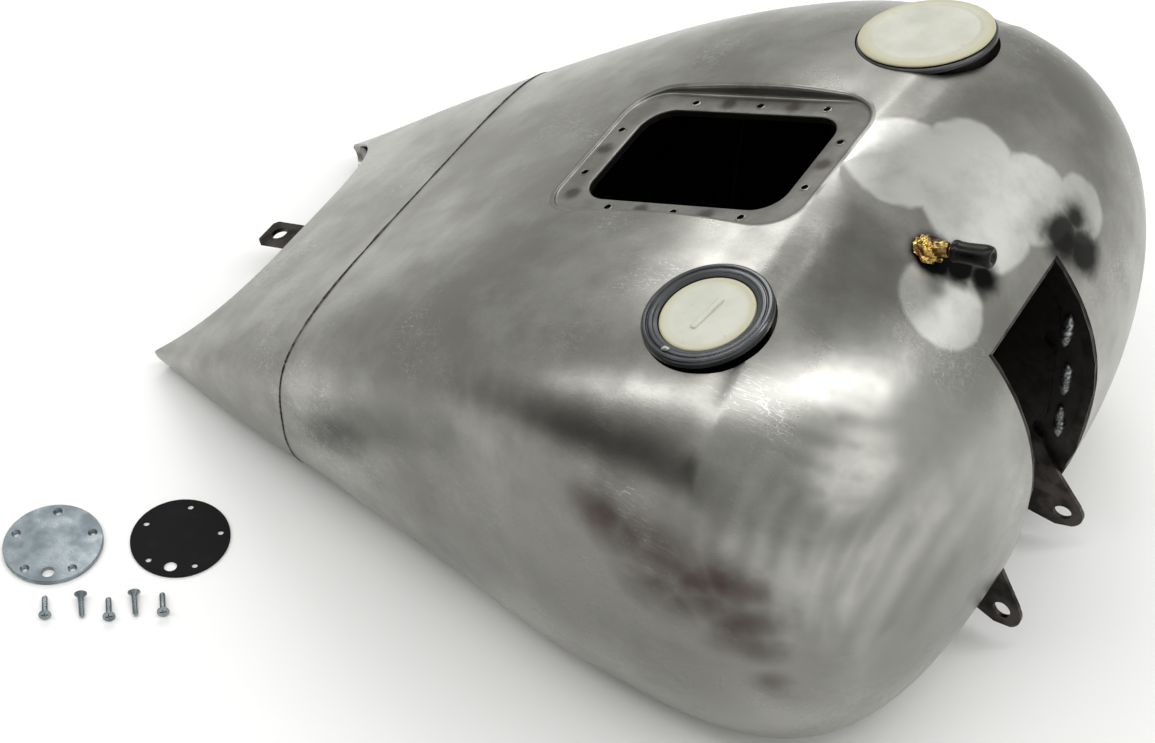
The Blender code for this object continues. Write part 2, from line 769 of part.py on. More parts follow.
def rear_tab():
    """The single rear mounting tab, under the rear end of the tunnel roof."""
    length_in, length_out, half = 44, 12.4, 12
    outline = [(length_in, -half), (length_in, half), (-length_out + 3, half)]
    outline += [(-length_out, half - 3), (-length_out, -half + 3), (-length_out + 3, -half)]
    frame = tilted(REAR_TAB_HOLE, REAR_TAB_SLOPE)
    tab = add("rear_mount_tab", prism(outline, -1.6, 1.6), "dark_steel", frame, smooth=False)
    return boolean(tab, helper("rear_tab_hole", disc(6, -10, 10, 24), frame))


def petcock_bung(cutters):
    frame = tilted((*PETCOCK, 0))
    cutters.append(helper("petcock_hole", disc(13.3, -5, 10, 32), frame))
    turned("petcock_bung", [(8.5, 14), (13, 14), (13, 0.2), (8.5, 0.2)], "machined_steel", frame, 24)


def baffle(name, side):
    """A loose-fitting plate across one lobe that slows the fuel's surge."""
    rib = side_rib(BAFFLE_X, 14)
    outline = [(p.y, p.z) for p in (rib_point(rib, a) for a in ACROSS) if p.y > 62]
    outline += [(70, 20), (62, 28), (62, 150)]
    points = [(side * y, z) for y, z in outline]
    mesh = prism(points, -0.75, 0.75)
    mesh.transform(Matrix.Rotation(math.radians(90), 4, "Z") @ Matrix.Rotation(math.radians(90), 4, "X"))
    mesh.transform(Matrix.Translation((BAFFLE_X * MM, 0, 0)))
    return add(name, mesh, "raw_sheet", smooth=False)


# ---------------------------------------------------------------- loose kit


def round_plate(name, material, place, thick, first_angle):
    frame = Matrix.Translation(Vector((*place, 0)) * MM)
    plate = add(name, disc(PLATE_RADIUS, 0, thick, 40), material, frame, smooth=False)
    for i in range(5):
        angle = math.radians(first_angle + 72 * i)
        spot = (HOLE_CIRCLE * math.cos(angle), HOLE_CIRCLE * math.sin(angle))
        boolean(plate, helper(f"{name}_hole_{i}", disc(2.1, -3, thick + 3, 8, spot), frame))
    angle = math.radians(first_angle - 180)
    spot = (WIRE_HOLE_CIRCLE * math.cos(angle), WIRE_HOLE_CIRCLE * math.sin(angle))
    return boolean(plate, helper(f"{name}_wire_hole", disc(4.4, -3, thick + 3, 16, spot), frame))


def cover_screw(index):
    """A countersunk screw lying on its head's rim and the end of its shank."""
    x, y, toward = SCREW_PLACES[index]
    head, shank, length = SCREW_HEAD, SCREW_SHANK, SCREW_LENGTH
    dip = math.asin((head - shank) / length)
    yaw = math.radians(SCREW_YAW if toward > 0 else SCREW_YAW + 180)
    turn = Matrix.Rotation(yaw, 4, "Z") @ Matrix.Rotation(math.radians(90) + dip, 4, "Y")
    lift = (head + shank) / 2 * math.cos(dip)
    frame = Matrix.Translation(Vector((x, y, lift)) * MM) @ turn
    half = length / 2
    profile = [(0, half), (shank - 0.4, half), (shank, half - 0.5), (shank, -half + 3)]
    profile += [(head, -half + 0.6), (head, -half), (0, -half)]
    screw = turned(f"cover_screw_{index + 1}", profile, "zinc_plate", frame, 14)
    for i in range(2):
        size = [2.6, 0.45] if i else [0.45, 2.6]
        slot = box((-size[0], -size[1], -half - 1), (size[0], size[1], -half + 1.6))
        boolean(screw, helper(f"cover_screw_{index + 1}_slot_{i}", slot, frame))
    return screw


# ---------------------------------------------------------------- assembly


def main():
    clear_scene()
    bpy.context.scene.unit_settings.scale_length = 1
    new_collection("fuel_tank")
    new_collection("cutters").hide_render = True
    foot = bpy.data.objects.new("tank_foot", None)
    foot.location = Vector(TANK_PLACE) * MM
    bpy.data.collections["fuel_tank"].objects.link(foot)
    for name in COLOURS:
        make_material(name)

    outer_hull = hull("outer_hull", 0.02)
    inner_hull = hull("inner_hull", PANEL_INSET)
    rim_hull = hull("rim_hull", 7)

    notch = rounded_rectangle(NOTCH_X, NOTCH_X + 120, TUNNEL_HALF + GAP, NOTCH_CORNER)
    notch = [(max(x, NOTCH_X), y) for x, y in notch]
    notch_cutter = helper("notch_cutter", prism(notch, -30, 400))
    low_front = box((150, -TUNNEL_HALF - GAP, -30), (400, TUNNEL_HALF + GAP, 110))
    tunnel_cutter = helper("tunnel_cutter", low_front)
    recess = prism(rounded_rectangle(*RECESS, RECESS_CORNER), -30, 60)
    recess_cutter = helper("recess_cutter", recess, panel_frame())
    shared = [notch_cutter, tunnel_cutter, recess_cutter]

    filler_hole = disc(FILLER_RADIUS + GAP, -30, 30, 40)
    sender_hole = disc(SENDER_RADIUS + GAP, -30, 30, 40)
    right_cutters = shared + [helper("filler_hole", filler_hole, bung_frame(-1))]
    left_cutters = shared + [helper("sender_hole", sender_hole, bung_frame(1))]
    pan_holes = []

    vent_parts(right_cutters)
    petcock_bung(pan_holes)
    body_shell("right_body_shell", -1, right_cutters)
    body_shell("left_body_shell", 1, left_cutters)
    tail_skin()
    seam_strip()
    closing_panel(inner_hull)
    tunnel_channel(outer_hull)
    floor_pan("right_floor_pan", -1, [])
    floor_pan("left_floor_pan", 1, pan_holes)
    pump_panel(outer_hull)
    nut_ring()
    filler_parts()
    sender_parts()
    for side, word in ((-1, "right"), (1, "left")):
        front_bracket(f"{word}_front_bracket", side)
        rim_flange(f"{word}_rim_flange", side, outer_hull, rim_hull)
        crossover_nipple(f"{word}_crossover_nipple", side)
        baffle(f"{word}_baffle", side)
    rear_tab()
    round_plate("cover_plate", "zinc_plate", PLATE_CENTRE, PLATE_THICK, PLATE_TURN)
    round_plate("cover_gasket", "gasket_fibre", GASKET_CENTRE, GASKET_THICK, GASKET_TURN)
    for index in range(len(SCREW_PLACES)):
        cover_screw(index)


main()
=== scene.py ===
"""The looks of the stretched fuel tank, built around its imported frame.

Shapes are worked out in millimetres from the foot of the tank's centre line, and each
mesh is turned into metres and put in the frame's own place as it is made.
"""

import math

import bmesh
import bpy
from mathutils import Matrix, Vector, noise
from mathutils.bvhtree import BVHTree


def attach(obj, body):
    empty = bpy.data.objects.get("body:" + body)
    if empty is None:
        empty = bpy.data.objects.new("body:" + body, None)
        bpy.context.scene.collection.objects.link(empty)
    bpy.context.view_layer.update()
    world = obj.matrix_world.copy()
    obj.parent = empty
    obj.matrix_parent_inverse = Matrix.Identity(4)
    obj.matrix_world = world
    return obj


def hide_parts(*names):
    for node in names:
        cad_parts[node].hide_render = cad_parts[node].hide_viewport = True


MM = 0.001
TANK_PLACE = Vector((-1.3, 53.5, 0))

# Body sections, from the tips of the tail horns to where the nose starts to round.
STATION_X = (-309, -216, -113, -19, 66, 141)
HALF_WIDTH = (123, 157, 185, 208, 228, 235)
CROWN_HEIGHT = (18, 95, 175, 239, 278.5, 300)
WIDEST_HEIGHT = (13, 51, 85, 112, 131, 136)
TAIL_X, NOSE_X, NOSE_TIP_X, NOSE_LIFT = STATION_X[0], STATION_X[-1], 305, 12
SHOULDER_SQUARENESS, NOSE_SQUARENESS, NOSE_PLAN_SQUARENESS = 4.0, 2.0, 3.2
UNDER_TURN, UNDER_TURN_NOSE = 52, 68
SKIN, SHEET, GAP = 2.0, 1.6, 0.3
SEAM_X, SEAM_GAP, SEAM_WELD_REACH = -158.0, 0.4, 0.97
REAR_EDGE_X, REAR_EDGE_POWER, HORN_UNDERCUT = -262, 3.5, 10
TUNNEL_HALF, NOTCH_X, NOTCH_CORNER = 47.2, 267, 12
ROOF_FRONT = (263, 239.5)

PANEL_CENTRE, PANEL_SLOPE = (63.2, 0, 267.5), 20.8
RECESS, RECESS_CORNER = (-94, 84.6, 64), 26
OPENING, OPENING_CORNER = (-75.5, 66.5, 47), 19
SCREW_ROW_Y, SCREW_ROW_PITCH = 54.6, 48.2
SCREW_ENDS = ((74.7, 22.5), (-85.9, 22.5))
LIP = 3.4
FILLET = 2.2

BUNG_CENTRE, BUNG_LEAN_REAR, BUNG_LEAN_OUT = (133, 139.1, 292.2), 14, 6.5
FILLER_RADIUS, FILLER_BORE = 38.5, 28.6
SENDER_RADIUS, SENDER_BORE = 44.2, 34.2
VENT_X, VENT_Y, VENT_RISE = 214, -25, 15.0

PLATE_RADIUS, PLATE_THICK, GASKET_THICK = 33, 3.2, 1.5
HOLE_CIRCLE, WIRE_HOLE_CIRCLE = 26.6, 24.5
PLATE_PLACE, PLATE_TURN = (-269.7, -288.5), 121
GASKET_PLACE, GASKET_TURN = (-200.8, -241.6), 111.5
SCREW_PLACES = (
    (-241, -332.8, -1), (-221.1, -320.3, 1), (-204.5, -313, -1), (-192, -301.8, 1), (-176.7, -292.4, -1),
)
SCREW_HEAD, SCREW_SHANK, SCREW_CORE, SCREW_LENGTH, SCREW_PITCH = 4.2, 2.0, 1.55, 17.5, 1.1

CAMERA_PLACE = (0.6344, -1.0282, 1.3823)
CAMERA_AZIMUTH, CAMERA_ELEVATION, CAMERA_ROLL, CAMERA_LENS = 32.0, 46.8, -1.4, 85.1

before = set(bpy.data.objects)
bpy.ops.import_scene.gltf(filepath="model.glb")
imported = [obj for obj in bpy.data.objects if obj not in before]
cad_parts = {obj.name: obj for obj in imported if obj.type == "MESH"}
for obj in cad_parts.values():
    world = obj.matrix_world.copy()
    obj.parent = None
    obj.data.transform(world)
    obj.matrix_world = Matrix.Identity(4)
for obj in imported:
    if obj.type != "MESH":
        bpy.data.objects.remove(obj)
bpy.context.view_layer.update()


# ---------------------------------------------------------------- finishes


class Finish:
    """A Principled material, with short calls for the nodes that vary it over a piece."""

    def __init__(self, name, colour, roughness, metallic, **sockets):
        self.material = bpy.data.materials.new(name)
        self.material.use_nodes = True
        self.tree = self.material.node_tree
        self.shader = self.tree.nodes["Principled BSDF"]
        self.shader.inputs["Base Color"].default_value = (*colour, 1)
        self.shader.inputs["Roughness"].default_value = roughness
        self.shader.inputs["Metallic"].default_value = metallic
        for socket, value in sockets.items():
            self.shader.inputs[socket.replace("_", " ")].default_value = value
        self.coords = self.tree.nodes.new("ShaderNodeTexCoord").outputs["Object"]

    def feed(self, socket, value):
        if hasattr(value, "is_linked"):
            self.tree.links.new(value, socket)
        else:
            socket.default_value = value

    def mapped(self, scale=(1, 1, 1), turn=(0, 0, 0), shift=(0, 0, 0)):
        node = self.tree.nodes.new("ShaderNodeMapping")
        self.tree.links.new(self.coords, node.inputs["Vector"])
        node.inputs["Location"].default_value = shift
        node.inputs["Rotation"].default_value = [math.radians(a) for a in turn]
        node.inputs["Scale"].default_value = scale
        return node.outputs["Vector"]

    def noise(self, scale, detail=3.0, vector=None, roughness=0.55, distortion=0.0):
        node = self.tree.nodes.new("ShaderNodeTexNoise")
        self.tree.links.new(vector or self.coords, node.inputs["Vector"])
        node.inputs["Scale"].default_value = scale
        node.inputs["Detail"].default_value = detail
        node.inputs["Roughness"].default_value = roughness
        node.inputs["Distortion"].default_value = distortion
        return node.outputs["Fac"]

    def rings(self, centre, scale, distortion=2.0, detail=2.0):
        """Fine arcs about a point given in tank millimetres."""
        place = (Vector(centre) + TANK_PLACE) * MM
        node = self.tree.nodes.new("ShaderNodeTexWave")
        node.wave_type = "RINGS"
        node.rings_direction = "SPHERICAL"
        self.tree.links.new(self.mapped(shift=-place), node.inputs["Vector"])
        node.inputs["Scale"].default_value = scale
        node.inputs["Distortion"].default_value = distortion
        node.inputs["Detail"].default_value = detail
        node.inputs["Detail Scale"].default_value = 1.4
        return node.outputs["Fac"]

    def scratches(self, scale, width, turn, stretch=12, distortion=0.3):
        """Thin random lines, 1 on a scratch, along one direction."""
        vector = self.mapped((1, stretch, stretch), (0, 0, turn))
        lines = self.noise(scale, 2, vector, distortion=distortion)
        off = self.math("ABSOLUTE", self.math("SUBTRACT", lines, 0.5))
        return self.range(off, 0, width, 1, 0)

    def math(self, operation, a, b=0.0, clamp=False):
        node = self.tree.nodes.new("ShaderNodeMath")
        node.operation = operation
        node.use_clamp = clamp
        self.feed(node.inputs[0], a)
        self.feed(node.inputs[1], b)
        return node.outputs[0]

    def range(self, value, from_low, from_high, to_low=0.0, to_high=1.0):
        node = self.tree.nodes.new("ShaderNodeMapRange")
        node.interpolation_type = "SMOOTHSTEP"
        self.feed(node.inputs["Value"], value)
        node.inputs["From Min"].default_value = from_low
        node.inputs["From Max"].default_value = from_high
        node.inputs["To Min"].default_value = to_low
        node.inputs["To Max"].default_value = to_high
        return node.outputs["Result"]

    def mix(self, factor, a, b):
        node = self.tree.nodes.new("ShaderNodeMix")
        node.data_type = "RGBA"
        self.feed(node.inputs[0], factor)
        for socket, colour in ((node.inputs[6], a), (node.inputs[7], b)):
            self.feed(socket, colour if hasattr(colour, "is_linked") else (*colour, 1))
        return node.outputs[2]

    def spot(self, centre, radius, soft, ragged=0.0, grain=60):
        """1 inside a ragged ball about a point given in tank millimetres, 0 outside."""
        node = self.tree.nodes.new("ShaderNodeVectorMath")
        node.operation = "DISTANCE"
        self.tree.links.new(self.coords, node.inputs[0])
        node.inputs[1].default_value = (Vector(centre) + TANK_PLACE) * MM
        away = node.outputs["Value"]
        if ragged:
            shake = self.math("SUBTRACT", self.noise(grain, 3), 0.5)
            away = self.math("ADD", away, self.math("MULTIPLY", shake, ragged * MM))
        return self.range(away, (radius - soft) * MM, (radius + soft) * MM, 1, 0)

    def spots(self, places, *shared):
        """All the balls of a list, each with its own centre and sizes, and what they share."""
        return self.most(*[self.spot(*place, *shared) for place in places])

    def most(self, *masks):
        found = masks[0]
        for mask in masks[1:]:
            found = self.math("MAXIMUM", found, mask)
        return found

    def times(self, *masks):
        found = masks[0]
        for mask in masks[1:]:
            found = self.math("MULTIPLY", found, mask)
        return found

    def bump(self, *layers):
        """Each layer is a height, its strength and its depth in metres."""
        normal = None
        for height, strength, depth in layers:
            node = self.tree.nodes.new("ShaderNodeBump")
            node.inputs["Strength"].default_value = strength
            node.inputs["Distance"].default_value = depth
            self.tree.links.new(height, node.inputs["Height"])
            if normal:
                self.tree.links.new(normal, node.inputs["Normal"])
            normal = node.outputs["Normal"]
        self.tree.links.new(normal, self.shader.inputs["Normal"])

    def colour(self, value):
        self.tree.links.new(value, self.shader.inputs["Base Color"])

    def roughness(self, value):
        self.tree.links.new(value, self.shader.inputs["Roughness"])


STEEL_DARK = (0.225, 0.222, 0.205)
STEEL_LIGHT = (0.375, 0.372, 0.345)
# Pale tone of the scratches, also used for painted reflections and sheen.
PALE_SCRATCH_AND_REFLECTION = (0.68, 0.69, 0.655)
# Near black for painted dark reflection and shadow, and for soot.
SOOT_AND_PAINTED_SHADE = (0.005, 0.0047, 0.0045)
# Red-brown of painted reflections on the flank.
RED_BROWN_REFLECTION = (0.042, 0.027, 0.025)
# Darker steel for painted dark reflections on the flank, also used for the blending arcs.
DARK_REFLECTION_AND_ARC_STEEL = (0.125, 0.123, 0.113)

# Painted reflections, sheen and dark reflections on the body: each is a centre in tank millimetres and a
# radius.
# Pale patches and a pale disc on the top: painted reflections.
PALE_REFLECTION_PATCHES = (
    ((172, 22, 299), 34), ((205, 50, 287), 30), ((226, 22, 279), 36), ((243, 62, 268), 30),
    ((262, 88, 245), 22),
)
PALE_REFLECTION_DISC = ((235, -48, 272), 29)
# A broad painted sheen on the polished near front lobe.
LOBE_PAINTED_SHEEN = ((262, -150, 210), 105)
# Darker flank under the near shoulder: painted dark reflection.
UNDER_SHOULDER_DARK_REFLECTION = (
    ((100, -231, 150), 85), ((170, -238, 140), 85), ((20, -205, 130), 70), ((240, -215, 120), 50),
    ((285, -150, 130), 62),
)
# Red-brown patches on the flank: painted reflection.
RED_REFLECTION_PATCHES = (
    ((122, -230, 204), 15), ((140, -231, 200), 17), ((160, -233, 193), 22), ((178, -233, 182), 17),
    ((196, -231, 190), 13), ((156, -234, 170), 15), ((186, -234, 168), 15), ((200, -232, 156), 12),
    ((172, -234, 160), 12),
)
# A dark streak down the flank: painted reflection.
DARK_STREAK_REFLECTION = (((212, -227, 190), 11), ((217, -228, 165), 12), ((221, -228, 140), 13), ((226, -224, 112), 11))

# Painted dark reflection on the top, the vent cap's painted shadow with soot, and soot at the notch; these
# also give how soft and how ragged each edge is.
DARK_TOP_REFLECTION = (((190, -70, 292), 40, 22, 24), ((205, -105, 288), 30, 18, 24), ((168, -75, 298), 26, 16, 20))
VENT_SHADOW_AND_SOOT = (((217, -25, 281), 16, 5, 9), ((231, -17, 275), 14, 6, 10), ((244, -12, 266), 12, 7, 10))
NOTCH_SOOT = (((264, 61, 247), 17, 8, 14), ((274, 70, 234), 16, 8, 14), ((264, 80, 247), 12, 10, 14))

# Arcs left by blending: the centre they turn about, how fine they are, and the ball they show in.
SWIRLS = (
    ((390, -190, 200), 19, (222, -215, 205), 60),
    ((380, -120, 120), 14, (262, -170, 180), 58),
    ((240, -60, 420), 24, (232, -170, 262), 34),
)


def blending_arcs(f):
    shown = []
    for centre, scale, place, reach in SWIRLS:
        shown.append(f.times(f.rings(centre, scale, 1.3), f.spot(place, reach, 22, 24, 12)))
    return f.times(f.most(*shown), f.range(f.noise(24, 3), 0.32, 0.5))


def front_marks_and_painted_light(f, colour, rough, mottle, arcs):
    """The colour and roughness with painted reflections and sheen, the vent cap's painted shadow, soot and
    blending arcs laid over them.
    """
    # Painted reflections: the pale patches and the pale disc.
    pale = f.most(f.spots(PALE_REFLECTION_PATCHES, 2.5, 20, 22), f.spot(*PALE_REFLECTION_DISC, 2.2, 7, 30))
    colour = f.mix(f.times(pale, f.range(mottle, 0.2, 0.6, 0.45, 0.8)), colour, PALE_SCRATCH_AND_REFLECTION)
    # Painted sheen on the near front lobe, which is also made a little glossier.
    lobe = f.spot(*LOBE_PAINTED_SHEEN, 35, 40, 14)
    colour = f.mix(f.times(lobe, 0.2), colour, PALE_SCRATCH_AND_REFLECTION)
    colour = f.mix(f.times(arcs, 0.36), colour, DARK_REFLECTION_AND_ARC_STEEL)
    # Painted dark reflection on the flank under the shoulder.
    colour = f.mix(f.times(f.spots(UNDER_SHOULDER_DARK_REFLECTION, 40, 30, 10), 0.62), colour, DARK_REFLECTION_AND_ARC_STEEL)
    # Painted reflections on the flank: a dark streak, then red-brown patches.
    colour = f.mix(f.times(f.spots(DARK_STREAK_REFLECTION, 10, 20, 34), 0.6), colour, RED_BROWN_REFLECTION)
    red = f.times(f.spots(RED_REFLECTION_PATCHES, 20, 42, 22), f.range(mottle, 0.3, 0.6, 0.7, 0.95))
    colour = f.mix(red, colour, RED_BROWN_REFLECTION)
    # Painted dark reflection on the top, which is also made a little glossier.
    dark = f.spots(DARK_TOP_REFLECTION)
    colour = f.mix(f.times(dark, 0.36), colour, SOOT_AND_PAINTED_SHADE)
    vent, notch = f.spots(VENT_SHADOW_AND_SOOT), f.spots(NOTCH_SOOT)
    # Painted shadow of the vent cap, with soot, round the vent.
    colour = f.mix(vent, colour, SOOT_AND_PAINTED_SHADE)
    colour = f.mix(f.times(notch, 0.95), colour, SOOT_AND_PAINTED_SHADE)
    rough = f.math("SUBTRACT", rough, f.times(f.most(lobe, dark), 0.05))
    rough = f.math("ADD", rough, f.times(f.most(vent, notch), 0.3))
    return colour, rough


def bare_steel(name, tail=False):
    """Hand-blended bare steel: faint brushing, cloudy tone and scratches, with painted reflections, sheen and
    shadow, soot and blending arcs on the body only.
    """
    f = Finish(name, STEEL_LIGHT, 0.3, 1.0)
    cloud = f.noise(6.5, 3)
    mottle = f.noise(34, 4, roughness=0.6)
    brushed = f.noise(150, 2, f.mapped((1, 16, 16), (0, 0, 58)))
    tone = f.math("ADD", f.math("MULTIPLY", cloud, 0.62), f.math("MULTIPLY", mottle, 0.3))
    tone = f.math("ADD", tone, f.math("MULTIPLY", brushed, 0.12))
    colour = f.mix(f.range(tone, 0.4, 0.63), STEEL_DARK, STEEL_LIGHT)
    rough = f.range(tone, 0.3, 0.7, 0.34, 0.26)
    scratches = f.most(f.scratches(26, 0.012, 62, 9), f.scratches(19, 0.009, -28, 7))
    scratches = f.times(scratches, f.range(f.noise(11, 2), 0.5, 0.66))
    colour = f.mix(f.times(scratches, 0.5), colour, PALE_SCRATCH_AND_REFLECTION)
    layers = [(cloud, 0.5, 0.004), (brushed, 0.12, 0.0004), (scratches, 0.1, 0.0002)]
    if not tail:
        arcs = blending_arcs(f)
        colour, rough = front_marks_and_painted_light(f, colour, rough, mottle, arcs)
        layers.append((arcs, 0.05, 0.0006))
    f.colour(colour)
    f.roughness(rough)
    f.bump(*layers)
    return f.material


def recess_steel(name, frame_matrix):
    """The sunk panel's steel, with heat smudges between the screw holes."""
    f = Finish(name, STEEL_LIGHT, 0.34, 1.0)
    mottle = f.noise(45, 4)
    colour = f.mix(f.range(mottle, 0.35, 0.65), (0.17, 0.167, 0.153), (0.255, 0.251, 0.232))
    smudges = []
    for u, v in smudge_places():
        smudges.append(f.spot(frame_matrix @ Vector((u, v, 0)), 5.2, 3.4, 7, 130))
    colour = f.mix(f.times(f.most(*smudges), 0.82), colour, (0.06, 0.048, 0.044))
    f.colour(colour)
    f.roughness(f.range(mottle, 0.3, 0.7, 0.4, 0.3))
    f.bump((mottle, 0.3, 0.0008), (f.noise(420, 2), 0.05, 0.0003))
    return f.material


def plain_metal(name, dark, light, roughness, scale, bump=0.3, metallic=1.0, turn=None):
    """A metal whose tone and gloss wander: turned marks come from noise drawn out about an axis."""
    f = Finish(name, light, roughness, metallic)
    mottle = f.noise(scale, 4)
    fine = f.noise(scale * 9, 2)
    if turn:
        fine = f.rings(turn, 420, 0.6, 1)
    colour = f.mix(f.range(mottle, 0.35, 0.65), dark, light)
    colour = f.mix(f.times(fine, 0.25), colour, dark)
    f.colour(colour)
    f.roughness(f.range(mottle, 0.3, 0.7, roughness + 0.1, max(roughness - 0.08, 0.05)))
    f.bump((mottle, bump, 0.0008), (fine, bump * 0.4, 0.0003))
    return f.material


def moulded_plastic(name, centre, radius):
    """Ivory plastic, yellower towards its rim and a little darker there as painted shade, and dirty in
    places.
    """
    f = Finish(name, (0.6, 0.6, 0.53), 0.42, 0.0, Subsurface_Weight=0.12, Subsurface_Scale=0.004)
    f.shader.inputs["Subsurface Radius"].default_value = (1.0, 0.9, 0.6)
    blotch = f.noise(38, 4)
    middle = f.spot(centre, radius * 0.86, radius * 0.12, 5, 60)
    colour = f.mix(f.range(blotch, 0.3, 0.7), (0.45, 0.46, 0.39), (0.54, 0.545, 0.475))
    # The rim: yellower, and a little darker as painted shade.
    colour = f.mix(middle, (0.45, 0.43, 0.30), colour)
    specks = f.range(f.noise(230, 2), 0.68, 0.74)
    colour = f.mix(f.times(specks, 0.35), colour, (0.3, 0.27, 0.2))
    f.colour(colour)
    f.roughness(f.range(blotch, 0.3, 0.7, 0.36, 0.5))
    f.bump((f.noise(500, 2), 0.08, 0.0003), (blotch, 0.1, 0.0006))
    return f.material


def rubber(name, dark, light, roughness, scale):
    f = Finish(name, dark, roughness, 0.0)
    grain = f.noise(scale, 3)
    f.colour(f.mix(f.range(grain, 0.4, 0.7), dark, light))
    f.roughness(f.range(grain, 0.3, 0.7, roughness - 0.06, roughness + 0.12))
    f.bump((f.noise(scale * 5, 2), 0.15, 0.0003))
    f.shader.inputs["Specular IOR Level"].default_value = 0.22
    return f.material


def brazed_brass(name):
    """Brass with lumps of braze, burnt dark and copper-red in the hollows."""
    f = Finish(name, (0.62, 0.42, 0.14), 0.28, 1.0)
    lump = f.noise(190, 4, distortion=1.2)
    burn = f.noise(95, 3)
    colour = f.mix(f.range(lump, 0.38, 0.62), (0.20, 0.085, 0.035), (0.72, 0.54, 0.16))
    colour = f.mix(f.range(burn, 0.5, 0.62), colour, (0.045, 0.03, 0.026))
    f.colour(colour)
    f.roughness(f.range(lump, 0.3, 0.7, 0.45, 0.2))
    f.bump((lump, 0.5, 0.0012))
    return f.material


def weld_metal(name, dark, light):
    f = Finish(name, dark, 0.45, 1.0)
    ripple = f.noise(420, 3)
    f.colour(f.mix(f.range(ripple, 0.4, 0.62), dark, light))
    f.roughness(f.range(ripple, 0.3, 0.7, 0.55, 0.35))
    f.bump((ripple, 0.5, 0.0006))
    return f.material


def floor_finish(name):
    f = Finish(name, (0.93, 0.93, 0.93), 0.7, 0.0)
    f.colour(f.mix(f.noise(3, 2), (0.925, 0.925, 0.925), (0.935, 0.935, 0.93)))
    f.shader.inputs["Specular IOR Level"].default_value = 0.2
    return f.material


# ---------------------------------------------------------------- mesh helpers


def arc(centre, radius, start, end, steps):
    angles = [math.radians(start + (end - start) * i / (steps - 1)) for i in range(steps)]
    return [(centre[0] + radius * math.cos(a), centre[1] + radius * math.sin(a)) for a in angles]


def steps_between(start, end, count):
    return [start + (end - start) * i / count for i in range(count + 1)]


def curve_between(a, b, c, count):
    """Points of a quadratic curve from a to c that leaves and arrives towards b."""
    return [a * (1 - t) ** 2 + b * 2 * t * (1 - t) + c * t * t for t in steps_between(0, 1, count)]


def rounded_rectangle(rear, front, half, corner, steps=14, side_steps=10):
    """Points round a rectangle, spread along its sides too, in the same order for any size."""
    corners = ((front, half, 0), (rear, half, 90), (rear, -half, 180), (front, -half, 270))
    arcs = []
    for x, y, turn in corners:
        centre = (x - math.copysign(corner, x), y - math.copysign(corner, y))
        arcs.append(arc(centre, corner, turn, turn + 90, steps))
    outline = []
    for i, points in enumerate(arcs):
        following = arcs[(i + 1) % 4][0]
        outline += points
        last = points[-1]
        for t in steps_between(0, 1, side_steps)[1:-1]:
            outline.append(tuple(a + (b - a) * t for a, b in zip(last, following)))
    return outline


def rounded_profile(corners, radius, steps=3):
    """A closed profile of (r, z) corners with each corner off the axis rounded."""
    count = len(corners)
    profile = []
    for i, corner in enumerate(corners):
        here = Vector(corner)
        before, after = Vector(corners[i - 1]), Vector(corners[(i + 1) % count])
        if here.x < 1e-6:
            profile.append(here)
            continue
        reach = min(radius, (before - here).length * 0.45, (after - here).length * 0.45)
        start = here + (before - here).normalized() * reach
        end = here + (after - here).normalized() * reach
        profile += curve_between(start, here, end, steps)
    return [tuple(p) for p in profile]


def new_mesh(points, faces, smooth_angle=35, weld=0.002, frame_matrix=None):
    """A mesh in metres from points in tank millimetres, with faces turned outward."""
    shape = bmesh.new()
    verts = []
    for point in points:
        place = frame_matrix @ Vector(point) if frame_matrix else Vector(point)
        verts.append(shape.verts.new((place + TANK_PLACE) * MM))
    for face in faces:
        corners = list(dict.fromkeys(face))
        if len(corners) > 2:
            shape.faces.new([verts[i] for i in corners])
    bmesh.ops.remove_doubles(shape, verts=shape.verts, dist=weld * MM)
    bmesh.ops.dissolve_degenerate(shape, edges=shape.edges, dist=weld / 2 * MM)
    bmesh.ops.recalc_face_normals(shape, faces=shape.faces)
    return finish_mesh(shape, smooth_angle)


def finish_mesh(shape, smooth_angle=35):
    mesh = bpy.data.meshes.new("shape")
    shape.to_mesh(mesh)
    shape.free()
    mesh.shade_smooth()
    mesh.set_sharp_from_angle(angle=math.radians(smooth_angle))
    return mesh


def grid_faces(rows, columns, around=False, along=False):
    """Quads over a grid of points, joined round its columns or its rows where asked."""
    faces = []
    for i in range(rows if along else rows - 1):
        for j in range(columns if around else columns - 1):
            a, b = i * columns, (i + 1) % rows * columns
            k = (j + 1) % columns
            faces.append((a + j, a + k, b + k, b + j))
    return faces


def lathe(profile, frame_matrix, steps=96, smooth_angle=35):
    """A turned mesh from a closed (r, z) profile."""
    points = []
    for i in range(steps):
        angle = 2 * math.pi * i / steps
        points += [(r * math.cos(angle), r * math.sin(angle), z) for r, z in profile]
    faces = grid_faces(steps, len(profile), around=True, along=True)
    return new_mesh(points, faces, smooth_angle, frame_matrix=frame_matrix)


def prism_mesh(outline, low, high, frame_matrix=None):
    count = len(outline)
    points = [(x, y, z) for z in (low, high) for x, y in outline]
    faces = [(i, (i + 1) % count, count + (i + 1) % count, count + i) for i in range(count)]
    faces += [tuple(range(count)), tuple(range(count, 2 * count))]
    return new_mesh(points, faces, frame_matrix=frame_matrix)


def joined(meshes):
    """One mesh of several that don't touch."""
    shape = bmesh.new()
    for mesh in meshes:
        shape.from_mesh(mesh)
    return finish_mesh(shape)


